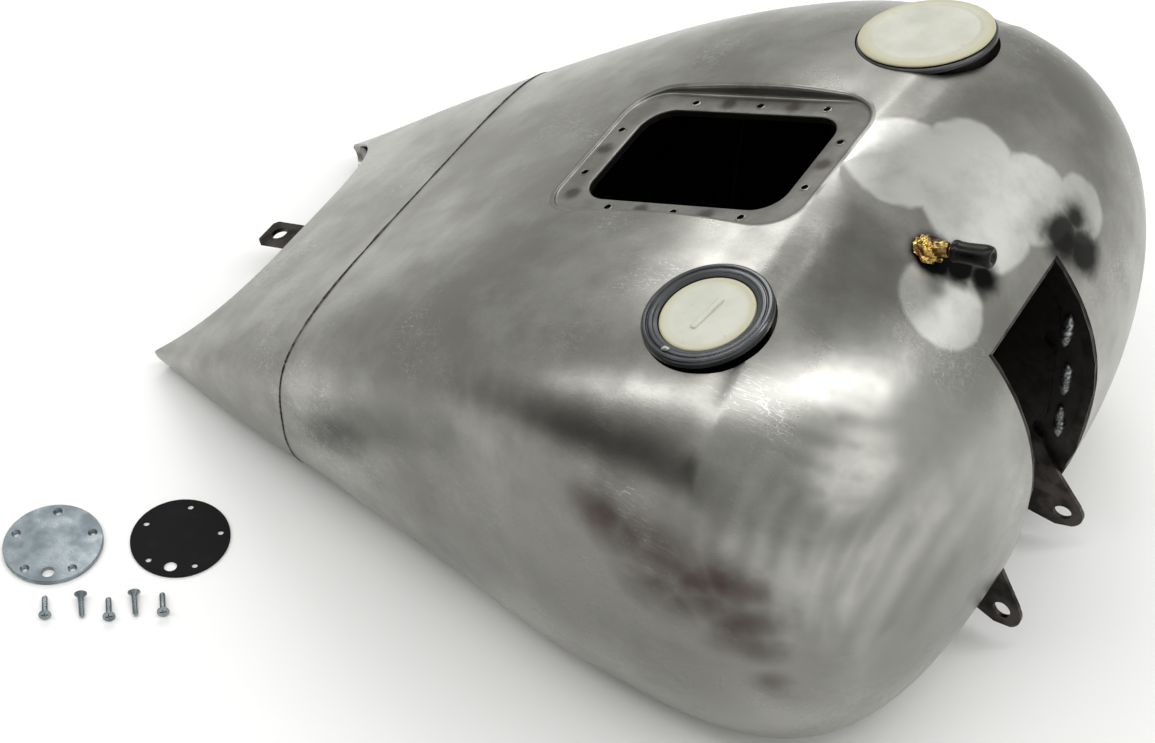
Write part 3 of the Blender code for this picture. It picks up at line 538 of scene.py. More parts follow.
def cut(mesh, *tools, solver="EXACT"):
    """The mesh with closed tool meshes cut out of it."""
    target = bpy.data.objects.new("cut_target", mesh)
    bpy.context.scene.collection.objects.link(target)
    helpers = []
    for tool in tools:
        helper = bpy.data.objects.new("cut_tool", tool)
        bpy.context.scene.collection.objects.link(helper)
        helpers.append(helper)
        modifier = target.modifiers.new("cut", "BOOLEAN")
        modifier.operation = "DIFFERENCE"
        modifier.solver = solver
        modifier.object = helper
    graph = bpy.context.evaluated_depsgraph_get()
    result = bpy.data.meshes.new_from_object(target.evaluated_get(graph))
    for used in (target, *helpers):
        bpy.data.objects.remove(used)
    result.shade_smooth()
    result.set_sharp_from_angle(angle=math.radians(35))
    return result


def thickened(mesh, depth):
    """The sheet given a thickness inward from its outer face."""
    target = bpy.data.objects.new("sheet", mesh)
    bpy.context.scene.collection.objects.link(target)
    modifier = target.modifiers.new("thickness", "SOLIDIFY")
    modifier.thickness = depth * MM
    modifier.offset = -1
    graph = bpy.context.evaluated_depsgraph_get()
    result = bpy.data.meshes.new_from_object(target.evaluated_get(graph))
    bpy.data.objects.remove(target)
    return result


def bead(path, radius, seed=0.0, sides=8, ripple=0.16):
    """A weld bead: a lumpy tube along a path in tank millimetres, tapered at its ends."""
    points = []
    count = len(path)
    for i, here in enumerate(path):
        ahead = (path[min(i + 1, count - 1)] - path[max(i - 1, 0)]).normalized()
        side = ahead.orthogonal().normalized()
        up = ahead.cross(side)
        end = min(i, count - 1 - i)
        size = radius * min(1, 0.35 + end * 0.3)
        size *= 1 + ripple * noise.noise(Vector((i * 0.9, seed, 0))) * 2
        for j in range(sides):
            angle = 2 * math.pi * j / sides
            points.append(here + (side * math.cos(angle) + up * math.sin(angle)) * size)
    faces = grid_faces(count, sides, around=True)
    faces += [tuple(range(sides)), tuple(range((count - 1) * sides, count * sides))]
    return new_mesh(points, faces, 80)


def piece(name, mesh, material, body, slot, *replaced):
    """A visible piece on its body, standing for the nodes that it replaces."""
    made = bpy.data.objects.new(name, mesh)
    mesh.name = name
    mesh.materials.clear()
    mesh.materials.append(material)
    bpy.context.scene.collection.objects.link(made)
    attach(made, body)
    if replaced:
        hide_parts(*replaced)
    return made


def tilted(place, rearward=0, outward=0):
    """A frame in tank millimetres whose Z leans rearward and outward, in degrees."""
    rear = Matrix.Rotation(math.radians(-rearward), 4, "Y")
    out = Matrix.Rotation(math.radians(outward), 4, "X")
    return Matrix.Translation(Vector(place)) @ rear @ out


def bung_frame(side):
    x, y, z = BUNG_CENTRE
    return tilted((x, side * y, z), BUNG_LEAN_REAR, -side * BUNG_LEAN_OUT)


# ---------------------------------------------------------------- body surface


def at_station(values, x):
    """A smooth curve through one row of the body sections."""
    last = len(STATION_X) - 1
    i = min(max(sum(x >= s for s in STATION_X) - 1, 0), last - 1)

    def slope(k):
        a, b = max(k - 1, 0), min(k + 1, last)
        return (values[b] - values[a]) / (STATION_X[b] - STATION_X[a])

    span = STATION_X[i + 1] - STATION_X[i]
    t = (x - STATION_X[i]) / span
    start, end = slope(i) * span, slope(i + 1) * span
    return (
        values[i] * (2 * t**3 - 3 * t**2 + 1)
        + start * (t**3 - 2 * t**2 + t)
        + values[i + 1] * (3 * t**2 - 2 * t**3)
        + end * (t**3 - t**2)
    )


def side_rib(x):
    """Crown point, widest point, squareness and under-turn of the section at x."""
    crown = Vector((x, 0, at_station(CROWN_HEIGHT, x)))
    widest = Vector((x, at_station(HALF_WIDTH, x), at_station(WIDEST_HEIGHT, x)))
    along = (x - TAIL_X) / (NOSE_X - TAIL_X)
    return crown, widest, SHOULDER_SQUARENESS, UNDER_TURN * min(1, 0.25 + 2 * along)


def nose_rib(angle):
    """The section that fans out from the nose centre at an angle, 0 to the side."""
    turn = math.sin(math.radians(angle))
    round_off = 2 / NOSE_PLAN_SQUARENESS
    crown = Vector((NOSE_X, 0, CROWN_HEIGHT[-1]))
    widest = Vector((
        NOSE_X + (NOSE_TIP_X - NOSE_X) * turn**round_off,
        HALF_WIDTH[-1] * max(math.cos(math.radians(angle)), 0) ** round_off,
        WIDEST_HEIGHT[-1] + NOSE_LIFT * turn,
    ))
    squareness = SHOULDER_SQUARENESS + (NOSE_SQUARENESS - SHOULDER_SQUARENESS) * turn
    return crown, widest, squareness, UNDER_TURN + (UNDER_TURN_NOSE - UNDER_TURN) * turn


def rib_point(rib, across):
    """0 is the crown, 1 the widest line and 2 the bottom edge."""
    crown, widest, squareness, under = rib
    if across <= 1:
        angle = across * math.pi / 2
        out = math.sin(angle) ** (2 / squareness)
        up = max(math.cos(angle), 0) ** (2 / squareness)
        point = crown.lerp(widest, out)
        point.z = widest.z + (crown.z - widest.z) * up
        return point
    angle = (across - 1) * math.pi / 2
    inward = (crown - widest).to_2d().normalized()
    point = widest.copy()
    point.xy += inward * under * (1 - math.cos(angle))
    point.z -= widest.z * math.sin(angle)
    return point


def eased(t):
    return t * t * (3 - 2 * t)


TOP_STEPS, SIDE_STEPS = 44, 18
ACROSS = [eased(t) for t in steps_between(0, 1, TOP_STEPS)] + steps_between(1, 2, SIDE_STEPS)[1:]
SPREAD = [-a for a in ACROSS[:0:-1]] + ACROSS
BODY_ROWS, NOSE_SUBSTEPS, TAIL_ROWS = 60, 5, 26
NOSE_ANGLES = (0.3, 2, 6, 14, 26, 40, 54, 66, 76, 83, 87.5, 90)
CREASE_REACH, CREASE_PASSES = 26, 26


def body_ribs():
    ribs = [side_rib(x) for x in steps_between(SEAM_X, NOSE_X, BODY_ROWS)]
    for start, end in zip(NOSE_ANGLES, NOSE_ANGLES[1:]):
        ribs += [nose_rib(a) for a in steps_between(start, end, NOSE_SUBSTEPS)[:-1]]
    return ribs + [nose_rib(90)]


def mirrored(point, across):
    return Vector((point.x, -point.y if across < 0 else point.y, point.z))


def body_surface():
    """The uncut outer face of the body, eased where the nose starts to round."""
    ribs = body_ribs()
    points = [mirrored(rib_point(rib, abs(a)), a) for rib in ribs for a in SPREAD]
    mesh = new_mesh(points, grid_faces(len(ribs), len(SPREAD)), 60, 0.02)
    shape = bmesh.new()
    shape.from_mesh(mesh)
    low, high = ((NOSE_X + d * CREASE_REACH + TANK_PLACE.x) * MM for d in (-1, 1))
    top = (WIDEST_HEIGHT[-1] + 40) * MM
    crease = [v for v in shape.verts if low < v.co.x < high and v.co.z > top]
    for _ in range(CREASE_PASSES):
        bmesh.ops.smooth_vert(
            shape, verts=crease, factor=0.5, use_axis_x=True, use_axis_y=True, use_axis_z=True
        )
    middle = [f for f in shape.faces if f.calc_center_median().z > top]
    if sum(f.normal.z for f in middle) < 0:
        bmesh.ops.reverse_faces(shape, faces=shape.faces)
    return finish_mesh(shape, 60)


def tail_point(along, across):
    """A point of the tail skin, from the seam (along 0) to the rear edge (along 1)."""
    level = abs(across)
    reach = math.sin(min(level, 1) * math.pi / 2) ** (2 / SHOULDER_SQUARENESS)
    rear = REAR_EDGE_X + (TAIL_X - REAR_EDGE_X) * reach**REAR_EDGE_POWER
    rear += HORN_UNDERCUT * max(level - 1, 0)
    start = SEAM_X - SEAM_GAP
    return mirrored(rib_point(side_rib(start + (rear - start) * along), level), across)


def tail_surface():
    rows = [[tail_point(u, a) for a in SPREAD] for u in steps_between(0, 1, TAIL_ROWS)]
    points = [p for row in rows for p in row]
    shape = bmesh.new()
    shape.from_mesh(new_mesh(points, grid_faces(len(rows), len(SPREAD)), 60))
    if sum(f.normal.z for f in shape.faces) < 0:
        bmesh.ops.reverse_faces(shape, faces=shape.faces)
    return finish_mesh(shape, 60)


# ---------------------------------------------------------------- pieces


def notch_outline():
    outline = rounded_rectangle(NOTCH_X, NOTCH_X + 120, TUNNEL_HALF + GAP, NOTCH_CORNER)
    return [(max(x, NOTCH_X), y) for x, y in outline]


CUT_DEPTH, PAST_NOSE, LOW_FRONT_TOP = 30, 400, 110


def make_body(surface):
    """The skin with its notch, recess and bung holes cut, the tail skin, and the weld between them."""
    panel = tilted(PANEL_CENTRE, PANEL_SLOPE)
    half = TUNNEL_HALF + GAP
    low_front = [(150, -half), (PAST_NOSE, -half), (PAST_NOSE, half), (150, half)]
    rear, front, recess_half = RECESS
    recess = rounded_rectangle(rear - LIP, front + LIP, recess_half + LIP, RECESS_CORNER + LIP)
    round_cut = [arc((0, 0), r + GAP, 0, 357.5, 144) for r in (FILLER_RADIUS, SENDER_RADIUS)]
    mesh = cut(
        thickened(surface, SKIN),
        prism_mesh(notch_outline(), -CUT_DEPTH, PAST_NOSE),
        prism_mesh(low_front, -CUT_DEPTH, LOW_FRONT_TOP),
        prism_mesh(recess, -CUT_DEPTH, 2 * CUT_DEPTH, panel),
        prism_mesh(round_cut[0], -CUT_DEPTH, CUT_DEPTH, bung_frame(-1)),
        prism_mesh(round_cut[1], -CUT_DEPTH, CUT_DEPTH, bung_frame(1)),
        solver="MANIFOLD",
    )
    skin = bare_steel("skin_steel")
    piece("body_skin", mesh, skin, "tank", "brushed_steel", "right_body_shell", "left_body_shell")
    tail = thickened(tail_surface(), SKIN)
    tail.shade_smooth()
    tail.set_sharp_from_angle(angle=math.radians(35))
    tail_steel = bare_steel("tail_steel", True)
    piece("tail_skin", tail, tail_steel, "tank", "brushed_steel", "tail_extension")
    rib = side_rib(SEAM_X - SEAM_GAP / 2)
    middle = Vector((rib[0].x, 0, rib[1].z))
    path = []
    for a in [b * SEAM_WELD_REACH for b in SPREAD]:
        point = mirrored(rib_point(rib, abs(a)), a)
        inward = (middle - point).normalized()
        path.append(point + inward * 0.45 + Vector((0.5 * noise.noise(point * 0.05), 0, 0)))
    seam = weld_metal("seam_weld_metal", (0.03, 0.028, 0.026), (0.10, 0.095, 0.09))
    piece("seam_weld", bead(path, 1.05, 3.0), seam, "tank", "brushed_steel")


def screw_places():
    rows = [(u * SCREW_ROW_PITCH, v) for u in (-1, 0, 1) for v in (-SCREW_ROW_Y, SCREW_ROW_Y)]
    ends = [(u, v * side) for u, v in SCREW_ENDS for side in (-1, 1)]
    return rows + ends


def smudge_places():
    """Heat marks between the screws: two on each long side and one or two at the ends."""
    rows = [(u * SCREW_ROW_PITCH, v) for u in (-0.5, 0.5) for v in (-SCREW_ROW_Y, SCREW_ROW_Y)]
    return rows + [(SCREW_ENDS[0][0], 0), (SCREW_ENDS[1][0], 2), (SCREW_ENDS[1][0] + 4, -44)]


def make_recess(surface):
    """The sunk tray: a rolled lip from the skin, a wall, and a floor with its window and holes."""
    panel = tilted(PANEL_CENTRE, PANEL_SLOPE)
    shape = bmesh.new()
    shape.from_mesh(surface)
    tree = BVHTree.FromBMesh(shape)
    to_panel = panel.inverted()

    def skin_height(u, v):
        origin = (panel @ Vector((u, v, 80)) + TANK_PLACE) * MM
        ahead = -(panel.to_3x3() @ Vector((0, 0, 1)))
        hit = tree.ray_cast(origin, ahead)[0]
        return (to_panel @ (hit / MM - TANK_PLACE)).z

    rear, front, half = RECESS

    def recess_ring(out):
        return rounded_rectangle(rear - out, front + out, half + out, RECESS_CORNER + out)

    lip_ring, wall_ring = recess_ring(LIP), recess_ring(0)
    floor_ring, under_ring = recess_ring(-FILLET), recess_ring(0.8)

    def opening_ring(out):
        r, f, h = OPENING
        return rounded_rectangle(r - out, f + out, h + out, OPENING_CORNER + out)

    window_out, window = opening_ring(0.9), opening_ring(0)
    columns = []
    for i in range(len(lip_ring)):
        lip_top = skin_height(*lip_ring[i])
        wall_top = skin_height(*wall_ring[i])
        drop = min(LIP, wall_top * 0.45)
        top = Vector((*lip_ring[i], lip_top))
        corner = Vector((*wall_ring[i], wall_top))
        shoulder = corner - Vector((0, 0, drop))
        foot_height = min(FILLET, wall_top * 0.45)
        foot = Vector((*wall_ring[i], foot_height))
        column = curve_between(top, corner, shoulder, 7)
        column += curve_between(foot, Vector((*wall_ring[i], 0)), Vector((*floor_ring[i], 0)), 5)
        start, end = Vector((*floor_ring[i], 0)), Vector((*window_out[i], 0))
        column += [start.lerp(end, t) for t in (0.33, 0.67)]
        column += curve_between(end, Vector((*window[i], 0)), Vector((*window[i], -0.9)), 3)
        column.append(Vector((*window[i], -SHEET)))
        column.append(Vector((*under_ring[i], -SHEET)))
        column.append(Vector((*under_ring[i], wall_top - drop - 2)))
        column.append(top - Vector((0, 0, SKIN)))
        columns.append(column)
    shape.free()
    points = [p for column in columns for p in column]
    faces = grid_faces(len(columns), len(columns[0]), around=True, along=True)
    tray = new_mesh(points, faces, 35, frame_matrix=panel)
    holes = [prism_mesh(arc((u, v), 2.4, 0, 345, 24), -6, 6, panel) for u, v in screw_places()]
    steel = recess_steel("panel_steel", panel)
    piece("pump_tray", cut(tray, joined(holes)), steel, "tank", "brushed_steel", "pump_panel")
    rim = rounded_profile([(2.2, 0.42), (3.2, 0.34), (3.5, 0.03), (2.25, -1.2)], 0.25)
    rims = [lathe(rim, panel @ Matrix.Translation((u, v, 0)), 32) for u, v in screw_places()]
    metal = plain_metal("nut_metal", (0.12, 0.12, 0.115), (0.4, 0.4, 0.38), 0.3, 200)
    piece("panel_nut_rims", joined(rims), metal, "tank", "raw_sheet")


def make_filler():
    place = bung_frame(-1)
    r, bore = FILLER_RADIUS, FILLER_BORE
    ring = [
        (bore + 0.2, 0.35), (31.2, 0.5), (31.7, 1.1), (r - 4.4, 1.2), (r - 4.0, 0.55), (r - 3.4, 0.5),
        (r - 2.9, 1.5), (r - 0.9, 1.45), (r, 0.6), (r + 0.25, -0.6), (r, -4), (bore + 4, -4),
        (bore + 4, -20), (bore + 0.2, -20),
    ]
    dark, light = (0.045, 0.047, 0.05), (0.10, 0.104, 0.108)
    metal = plain_metal("turned_steel", dark, light, 0.26, 14, 0.2, turn=place.translation)
    turned = lathe(rounded_profile(ring, 0.35), place, 128)
    piece("filler_ring", turned, metal, "tank", "machined_steel", "filler_bung")
    spot = place @ Matrix.Rotation(math.radians(-107), 4, "Z") @ Vector((r - 5.5, 0, 1.2))
    path = [spot + Vector((d, d * 0.4, 0)) for d in (-2.4, -1.2, 0, 1.2, 2.4)]
    tack = weld_metal("tack_metal", (0.2, 0.2, 0.2), (0.55, 0.55, 0.53))
    piece("filler_tack_weld", bead(path, 2.2, 1.0, 10), tack, "tank", "machined_steel")
    edge = [
        (0, -0.15), (24.5, -0.05), (26.6, 0.2), (27.6, 0.1), (bore - GAP, -0.5), (bore - GAP, -1.1),
        (24.7, -1.1), (24.7, -3.7), (27.6, -3.7), (27.6, -15), (24.5, -15), (24.5, -4.5), (0, -4.5),
    ]
    disc = lathe(rounded_profile(edge, 0.5), place, 128)
    turn = place @ Matrix.Rotation(math.radians(75), 4, "Z")
    bar = rounded_rectangle(-13, 13, 2, 1.9, 8, 3)
    rows = []
    for inset, height in ((0, -1.0), (0, 0.6), (0.25, 1.0), (0.9, 1.2)):
        rows.append([(x * (1 - inset / 13), y * (1 - inset / 2), height) for x, y in bar])
    points = [p for row in rows for p in row]
    faces = grid_faces(len(rows), len(bar), around=True)
    faces += [tuple(range(len(bar))), tuple(range(len(points) - len(bar), len(points)))]
    raised = new_mesh(points, faces, 50, frame_matrix=turn)
    plastic = moulded_plastic("plug_plastic", place.translation, bore)
    plug = joined([disc, raised])
    piece("filler_plug_moulding", plug, plastic, "filler_plug", "white_plastic", "filler_plug")


def make_sender():
    place = bung_frame(1)
    r, bore = SENDER_RADIUS, SENDER_BORE
    ring = [
        (bore + 0.2, -0.1), (r - 3, 0), (r - 0.6, -0.2), (r + 0.2, -1.4), (r, -4), (bore + 3.6, -4),
        (bore + 3.6, -8), (bore + 0.2, -8),
    ]
    dark, light = (0.06, 0.06, 0.062), (0.13, 0.13, 0.132)
    metal = plain_metal("sender_steel", dark, light, 0.3, 14, 0.2, turn=place.translation)
    turned = lathe(rounded_profile(ring, 0.4), place, 128)
    piece("sender_flange_ring", turned, metal, "tank", "machined_steel", "sender_ring")
    skirt = bore - GAP
    cap = [
        (0, 2.0), (30, 2.1), (33.5, 2.0), (35.2, 2.9), (37, 3.2), (40.2, 3.1), (42.7, 1.9),
        (42.7, GAP + 0.1), (skirt, GAP + 0.1), (skirt, -7), (skirt - 2, -7), (skirt - 2, -0.6), (0, -0.6),
    ]
    plastic = moulded_plastic("cap_plastic", place @ Vector((0, 0, 2)), 42.7)
    mesh = lathe(rounded_profile(cap, 0.9, 4), place, 144)
    piece("sender_cap_moulding", mesh, plastic, "sender_cap", "white_plastic", "sender_cap")


def crown_height(x):
    """Height of the nose's top line, ahead of where it starts to round."""
    crown, widest = nose_rib(90)[:2]
    reach = (x - NOSE_X) / (NOSE_TIP_X - NOSE_X)
    return widest.z + (crown.z - widest.z) * math.sqrt(1 - reach**2)


def vent_frames():
    """The frame of the vent's foot on the skin, and that of its barb."""
    fall = (crown_height(VENT_X - 5) - crown_height(VENT_X + 5)) / 10
    base = tilted((VENT_X, VENT_Y, crown_height(VENT_X)), -math.degrees(math.atan(fall)))
    start = base @ Vector((0, 0, 4))
    return base, Matrix.Translation(start) @ Matrix.Rotation(math.radians(90 - VENT_RISE), 4, "Y")


def lump(radius, flat, rough, frame_matrix, seed):
    """A ragged dome of braze: a subdivided ball pushed about by noise and flattened."""
    shape = bmesh.new()
    bmesh.ops.create_icosphere(shape, subdivisions=5, radius=1)
    for v in shape.verts:
        push = noise.fractal(v.co * 2.6 + Vector((seed, 0, 0)), 1.0, 2.0, 4)
        reach = radius * (1 + rough * push)
        point = Vector((v.co.x * reach, v.co.y * reach, v.co.z * reach * flat))
        v.co = (frame_matrix @ point + TANK_PLACE) * MM
    return finish_mesh(shape, 60)


def make_vent():
    base, barb = vent_frames()
    brass = brazed_brass("brazed_brass")
    foot = rounded_profile([(0, 8), (5.2, 8), (7.6, 6), (8.2, 0.7), (6, 0.7), (6, -9), (0, -9)], 0.8)
    pipe = rounded_profile([(0, 20), (2.9, 20), (2.9, 13), (4.6, 12.4), (5.3, 8), (5.3, 0), (0, 0)], 0.5)
    lumps = [lump(8.9, 0.45, 0.22, base @ Matrix.Translation((0, 0, 1.6)), 1),
             lump(5.2, 0.9, 0.34, base @ Matrix.Translation((-2.2, -1.5, 4.6)), 5),
             lump(4.4, 0.8, 0.34, base @ Matrix.Translation((2.6, 2.4, 4.4)), 9)]
    mesh = joined([lathe(foot, base, 48), lathe(pipe, barb, 48), *lumps])
    piece("vent_fitting", mesh, brass, "tank", "brass", "vent_elbow")
    cap = [
        (0, 38.2), (2.2, 38.2), (2.8, 39.4), (4.8, 40), (6.2, 39), (6.9, 36), (6.7, 31), (6.3, 24), (6.4, 19),
        (6.9, 17.4), (6.9, 15), (3.8, 15), (3.8, 34), (0, 34),
    ]
    black = rubber("cap_rubber", (0.002, 0.002, 0.002), (0.006, 0.006, 0.006), 0.3, 160)
    sleeve = lathe(rounded_profile(cap, 0.8), barb, 64)
    piece("vent_cap_sleeve", sleeve, black, "vent_cap", "black_rubber", "vent_cap")


def make_notch():
    """The lip between the skin and the tunnel roof, and the welds that hold the brackets and the tab."""
    x, z = ROOF_FRONT
    half = TUNNEL_HALF - SHEET - 0.4
    edge = crown_height(NOTCH_X + 0.4)
    points = []
    for y in steps_between(-half, half, 12):
        points += [
            (x - 1.2, y, z - 1.4), (x - 1.2, y, z + 4), (NOTCH_X + 0.2, y, edge - 1.2),
            (NOTCH_X + 0.6, y, edge - 3), (NOTCH_X - 0.4, y, z - 0.4),
        ]
    faces = grid_faces(13, 5, around=True) + [tuple(range(5)), tuple(range(60, 65))]
    dark = plain_metal("lip_steel", (0.03, 0.028, 0.026), (0.12, 0.115, 0.11), 0.5, 90)
    piece("tunnel_front_lip", new_mesh(points, faces), dark, "tank", "raw_sheet")
    metal = weld_metal("weld_metal", (0.10, 0.105, 0.105), (0.34, 0.355, 0.355))
    beads = []
    for side in (-1, 1):
        y = side * (TUNNEL_HALF - SHEET - 1.2)
        for cx, cz, lean in ((282, 191, 0.05), (286, 150, 0), (286, 112, -0.04)):
            path = [Vector((cx + lean * d, y, cz + d)) for d in steps_between(-13, 13, 14)]
            beads.append(bead(path, 3.2, side + cz, 10, 0.3))
    piece("bracket_welds", joined(beads), metal, "tank", "dark_steel")
    tab = tilted((-287.3, 0, 34.3), 17.1)
    paths = []
    for side in (-1, 1):
        path = [tab @ Vector((u, side * 12.2, 1.9)) for u in steps_between(26, 42, 12)]
        paths.append(bead(path, 1.5, side * 7.0))
    burnt = weld_metal("tab_weld_metal", (0.05, 0.048, 0.045), (0.2, 0.2, 0.19))
    piece("rear_tab_welds", joined(paths), burnt, "tank", "dark_steel")


def around(radius, angle):
    return Matrix.Translation((radius * math.cos(angle), radius * math.sin(angle), 0))


def disc_with_holes(place, thick, turn, countersunk):
    """A round plate with softened edges, five screw holes and one for a wire."""
    centre = Matrix.Translation(Vector((*place, 0)))
    edge = 0.35 if countersunk else 0.15
    r = PLATE_RADIUS
    profile = [(0, thick), (r - edge, thick), (r, thick - edge), (r, edge), (r - edge, 0), (0, 0)]
    rows = [(0, thick)] + [(r * t, thick) for t in (0.25, 0.5, 0.75, 0.93)] + profile[1:-1] + [(0, 0)]
    mesh = lathe(rows, centre, 128)
    tools = []
    for i in range(5):
        angle = math.radians(turn + 72 * i)
        spot = centre @ around(HOLE_CIRCLE, angle)
        hole = [(0, thick + 1), (2.1, thick + 1), (2.1, -1), (0, -1)]
        if countersunk:
            hole = [(0, thick + 1), (4.1, thick + 1), (2.1, thick - 1.1), (2.1, -1), (0, -1)]
        tools.append(lathe(hole, spot, 32))
    angle = math.radians(turn - 180)
    spot = centre @ around(WIRE_HOLE_CIRCLE, angle)
    tools.append(lathe([(0, thick + 1), (4.4, thick + 1), (4.4, -1), (0, -1)], spot, 48))
    return cut(mesh, joined(tools))


def screw_frame(index):
    x, y, toward = SCREW_PLACES[index]
    dip = math.asin((SCREW_HEAD - SCREW_SHANK) / SCREW_LENGTH)
    yaw = math.radians(-50) if toward > 0 else math.radians(130)
    turn = Matrix.Rotation(yaw, 4, "Z") @ Matrix.Rotation(math.radians(90) + dip, 4, "Y")
    lift = (SCREW_HEAD + SCREW_SHANK) / 2 * math.cos(dip)
    return Matrix.Translation(Vector((x, y, lift))) @ turn


def threaded_screw(place):
    """A countersunk screw with a wound thread and a crossed recess."""
    half = SCREW_LENGTH / 2
    sides = 24
    head_end = -half + 3.0
    heights = [(-half, 0), (-half, SCREW_HEAD - 0.3), (-half + 0.25, SCREW_HEAD), (-half + 0.6, SCREW_HEAD)]
    heights += [(head_end, SCREW_SHANK - 0.1)]
    turns_round = [2 * math.pi * j / sides for j in range(sides)]

    def ring(z, r):
        return [(r * math.cos(a), r * math.sin(a), z) for a in turns_round]

    points = [p for z, r in heights for p in ring(z, r)]
    rows = len(heights)
    for z in steps_between(head_end + 0.3, half - 0.6, 80):
        fade = min(1, (half - z) / 1.6)
        for j, a in enumerate(turns_round):
            part_turn = (z / SCREW_PITCH - j / sides) % 1
            ridge = 1 - abs(2 * part_turn - 1)
            r = SCREW_CORE + (SCREW_SHANK - SCREW_CORE) * ridge * fade
            points.append((r * math.cos(a), r * math.sin(a), z))
        rows += 1
    for z, r in ((half, SCREW_CORE - 0.5), (half, 0)):
        points += ring(z, r)
        rows += 1
    mesh = new_mesh(points, grid_faces(rows, sides, around=True), 28, frame_matrix=place)
    tools = []
    for quarter in (0, 90):
        turn = place @ Matrix.Rotation(math.radians(quarter), 4, "Z")
        wide, thin = 2.3, 0.42
        shape = [
            (-wide, -half - 1), (wide, -half - 1), (wide, -half), (0.5, -half + 1.9), (-0.5, -half + 1.9),
            (-wide, -half),
        ]
        flat = turn @ Matrix.Rotation(math.radians(90), 4, "X")
        tools.append(prism_mesh(shape, -thin, thin, flat))
    return cut(mesh, *tools)


def make_kit():
    zinc = plain_metal("zinc", (0.16, 0.195, 0.215), (0.30, 0.34, 0.36), 0.3, 55, 0.15, 0.92)
    gasket = rubber("gasket", (0.002, 0.002, 0.003), (0.007, 0.007, 0.008), 0.75, 90)
    plate = disc_with_holes(PLATE_PLACE, PLATE_THICK, PLATE_TURN, True)
    piece("cover_plate_disc", plate, zinc, "cover_plate", "zinc_plate", "cover_plate")
    sheet = disc_with_holes(GASKET_PLACE, GASKET_THICK, GASKET_TURN, False)
    piece("cover_gasket_disc", sheet, gasket, "cover_gasket", "gasket_fibre", "cover_gasket")
    for i in range(len(SCREW_PLACES)):
        mesh = threaded_screw(screw_frame(i))
        piece(f"threaded_screw_{i + 1}", mesh, zinc, "cover_screws", "zinc_plate", f"cover_screw_{i + 1}")


def refinish_frame():
    """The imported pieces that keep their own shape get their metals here."""
    sheet = plain_metal("raw_sheet_steel", (0.07, 0.066, 0.06), (0.2, 0.19, 0.175), 0.45, 26)
    tunnel = plain_metal("tunnel_steel", (0.022, 0.019, 0.017), (0.06, 0.052, 0.048), 0.5, 30)
    scale = plain_metal("mill_scale", (0.02, 0.017, 0.016), (0.075, 0.066, 0.06), 0.42, 60)
    turned = plain_metal("fitting_steel", (0.1, 0.1, 0.1), (0.25, 0.25, 0.25), 0.3, 140)
    seal = rubber("seal_rubber", (0.01, 0.01, 0.011), (0.025, 0.025, 0.026), 0.5, 150)
    finishes = {
        "seam_backing_strip": tunnel, "tail_closing_panel": sheet, "tunnel_channel": tunnel,
        "right_floor_pan": sheet, "left_floor_pan": sheet, "pump_nut_ring": tunnel,
        "right_rim_flange": scale, "left_rim_flange": scale, "right_baffle": tunnel, "left_baffle": tunnel,
        "sender_cup": sheet, "vent_tube": sheet, "petcock_bung": turned,
        "right_crossover_nipple": turned, "left_crossover_nipple": turned, "filler_plug_seal": seal,
        "right_front_bracket": scale, "left_front_bracket": scale, "rear_mount_tab": scale,
    }
    for name, material in finishes.items():
        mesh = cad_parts[name].data
        for i in range(len(mesh.materials)):
            mesh.materials[i] = material


# ---------------------------------------------------------------- stage


def make_floor():
    shape = bmesh.new()
    bmesh.ops.create_circle(shape, cap_ends=True, segments=96, radius=4)
    bmesh.ops.translate(shape, vec=(0, 0, -0.0003), verts=shape.verts)
    mesh = finish_mesh(shape)
    mesh.materials.append(floor_finish("floor_paper"))
    floor = bpy.data.objects.new("floor", mesh)
    bpy.context.scene.collection.objects.link(floor)


def softbox(name, place, aim, size, power):
    light = bpy.data.lights.new(name, "AREA")
    light.shape = "RECTANGLE"
    light.size, light.size_y = size
    light.energy = power
    lamp = bpy.data.objects.new(name, light)
    lamp.location = place
    lamp.rotation_euler = (Vector(aim) - Vector(place)).to_track_quat("-Z", "Y").to_euler()
    bpy.context.scene.collection.objects.link(lamp)
    return lamp


ROOM_LIGHT, ROOM_DARK = 0.62, 0.03
STRIP_HEIGHT, STRIP_WIDTH = 2.1, 0.36
# Where each strip light hangs, its length, its turn about Z and its power.
STRIPS = {"strip_tail": (-1.95, -1.0, 3.3, 9, 19), "strip_nose": (1.3, 0.75, 4.3, 40, 30)}


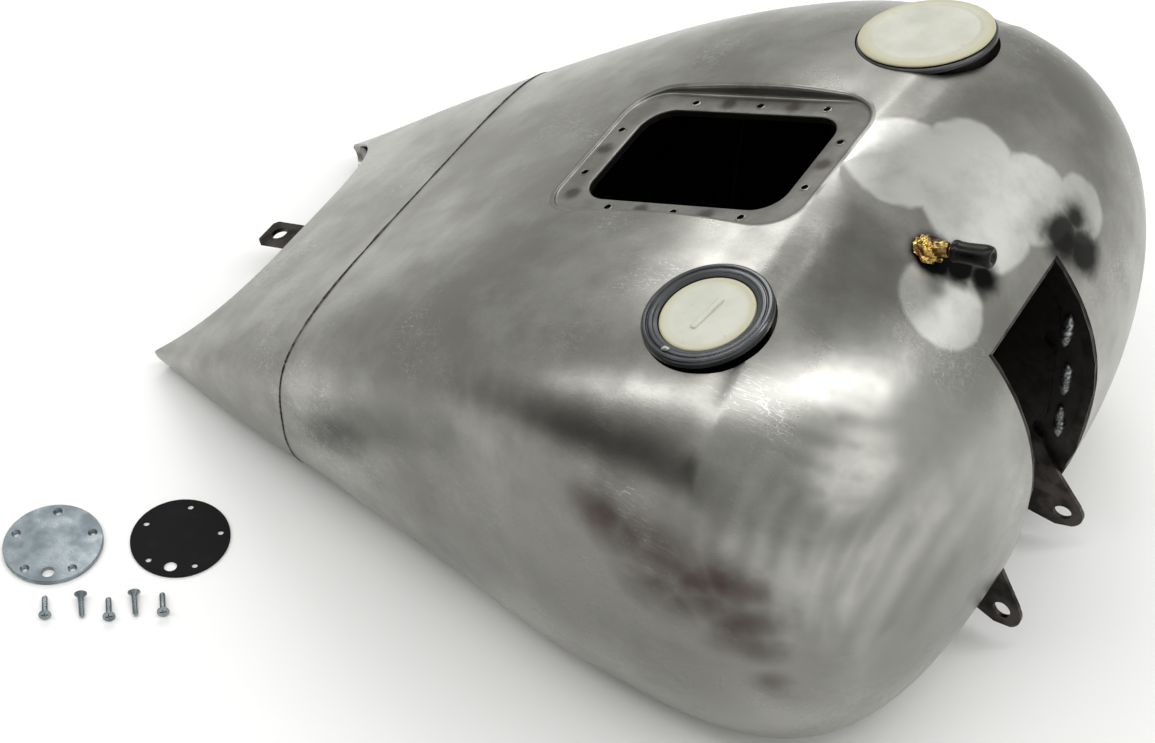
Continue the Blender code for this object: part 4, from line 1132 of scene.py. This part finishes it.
def make_lights():
    """A pale room that is dark low down at the near rear side, two strip lights and two softboxes."""
    world = bpy.data.worlds.new("studio")
    bpy.context.scene.world = world
    world.use_nodes = True
    tree = world.node_tree
    background = tree.nodes["Background"]
    coords = tree.nodes.new("ShaderNodeTexCoord").outputs["Generated"]
    split = tree.nodes.new("ShaderNodeSeparateXYZ")
    tree.links.new(coords, split.inputs[0])

    def ranged(value, low, high, to_low, to_high):
        node = tree.nodes.new("ShaderNodeMapRange")
        node.interpolation_type = "SMOOTHSTEP"
        tree.links.new(value, node.inputs["Value"])
        for key, number in zip(("From Min", "From Max", "To Min", "To Max"), (low, high, to_low, to_high)):
            node.inputs[key].default_value = number
        return node.outputs["Result"]

    def times(a, b):
        node = tree.nodes.new("ShaderNodeMath")
        node.operation = "MULTIPLY"
        tree.links.new(a, node.inputs[0])
        tree.links.new(b, node.inputs[1])
        return node.outputs[0]

    low_down = ranged(split.outputs["Z"], 0.3, 0.7, 1, 0)
    near_side = ranged(split.outputs["Y"], -0.62, -0.25, 1, 0)
    tailward = ranged(split.outputs["X"], -0.4, 0.15, 1, 0)
    mix = tree.nodes.new("ShaderNodeMix")
    mix.data_type = "RGBA"
    tree.links.new(times(times(low_down, near_side), tailward), mix.inputs[0])
    mix.inputs[6].default_value = (ROOM_LIGHT, ROOM_LIGHT, ROOM_LIGHT * 0.97, 1)
    mix.inputs[7].default_value = (ROOM_DARK, ROOM_DARK * 0.9, ROOM_DARK * 0.85, 1)
    tree.links.new(mix.outputs[2], background.inputs["Color"])
    for name, (x, y, length, turn, power) in STRIPS.items():
        strip = softbox(name, (x, y, STRIP_HEIGHT), (x, y, 0), (length, STRIP_WIDTH), power)
        strip.rotation_euler = (0, 0, math.radians(turn))
    softbox("front", (2.5, -0.25, 1.45), (0.1, 0, 0.15), (2.2, 1.4), 9)
    softbox("rear", (-1.2, 1.6, 1.9), (0, 0.1, 0.1), (1.4, 0.8), 14)


def make_camera():
    a, e, r = (math.radians(v) for v in (CAMERA_AZIMUTH, CAMERA_ELEVATION, CAMERA_ROLL))
    right = Vector((math.cos(a), math.sin(a), 0))
    back = Vector((math.sin(a) * math.cos(e), -math.cos(a) * math.cos(e), math.sin(e)))
    up = back.cross(right)
    x = right * math.cos(r) + up * math.sin(r)
    y = up * math.cos(r) - right * math.sin(r)
    lens = bpy.data.cameras.new("camera")
    lens.lens = CAMERA_LENS
    lens.sensor_width = 36
    lens.sensor_fit = "HORIZONTAL"
    camera = bpy.data.objects.new("camera", lens)
    turn = Matrix((x, y, back)).transposed().to_4x4()
    camera.matrix_world = Matrix.Translation(CAMERA_PLACE) @ turn
    bpy.context.scene.collection.objects.link(camera)
    bpy.context.scene.camera = camera


make_camera()
make_lights()
make_floor()
refinish_frame()
outer = body_surface()
make_recess(outer)
make_body(outer)
make_filler()
make_sender()
make_vent()
make_notch()
make_kit()
bpy.context.scene.view_settings.view_transform = "Standard"
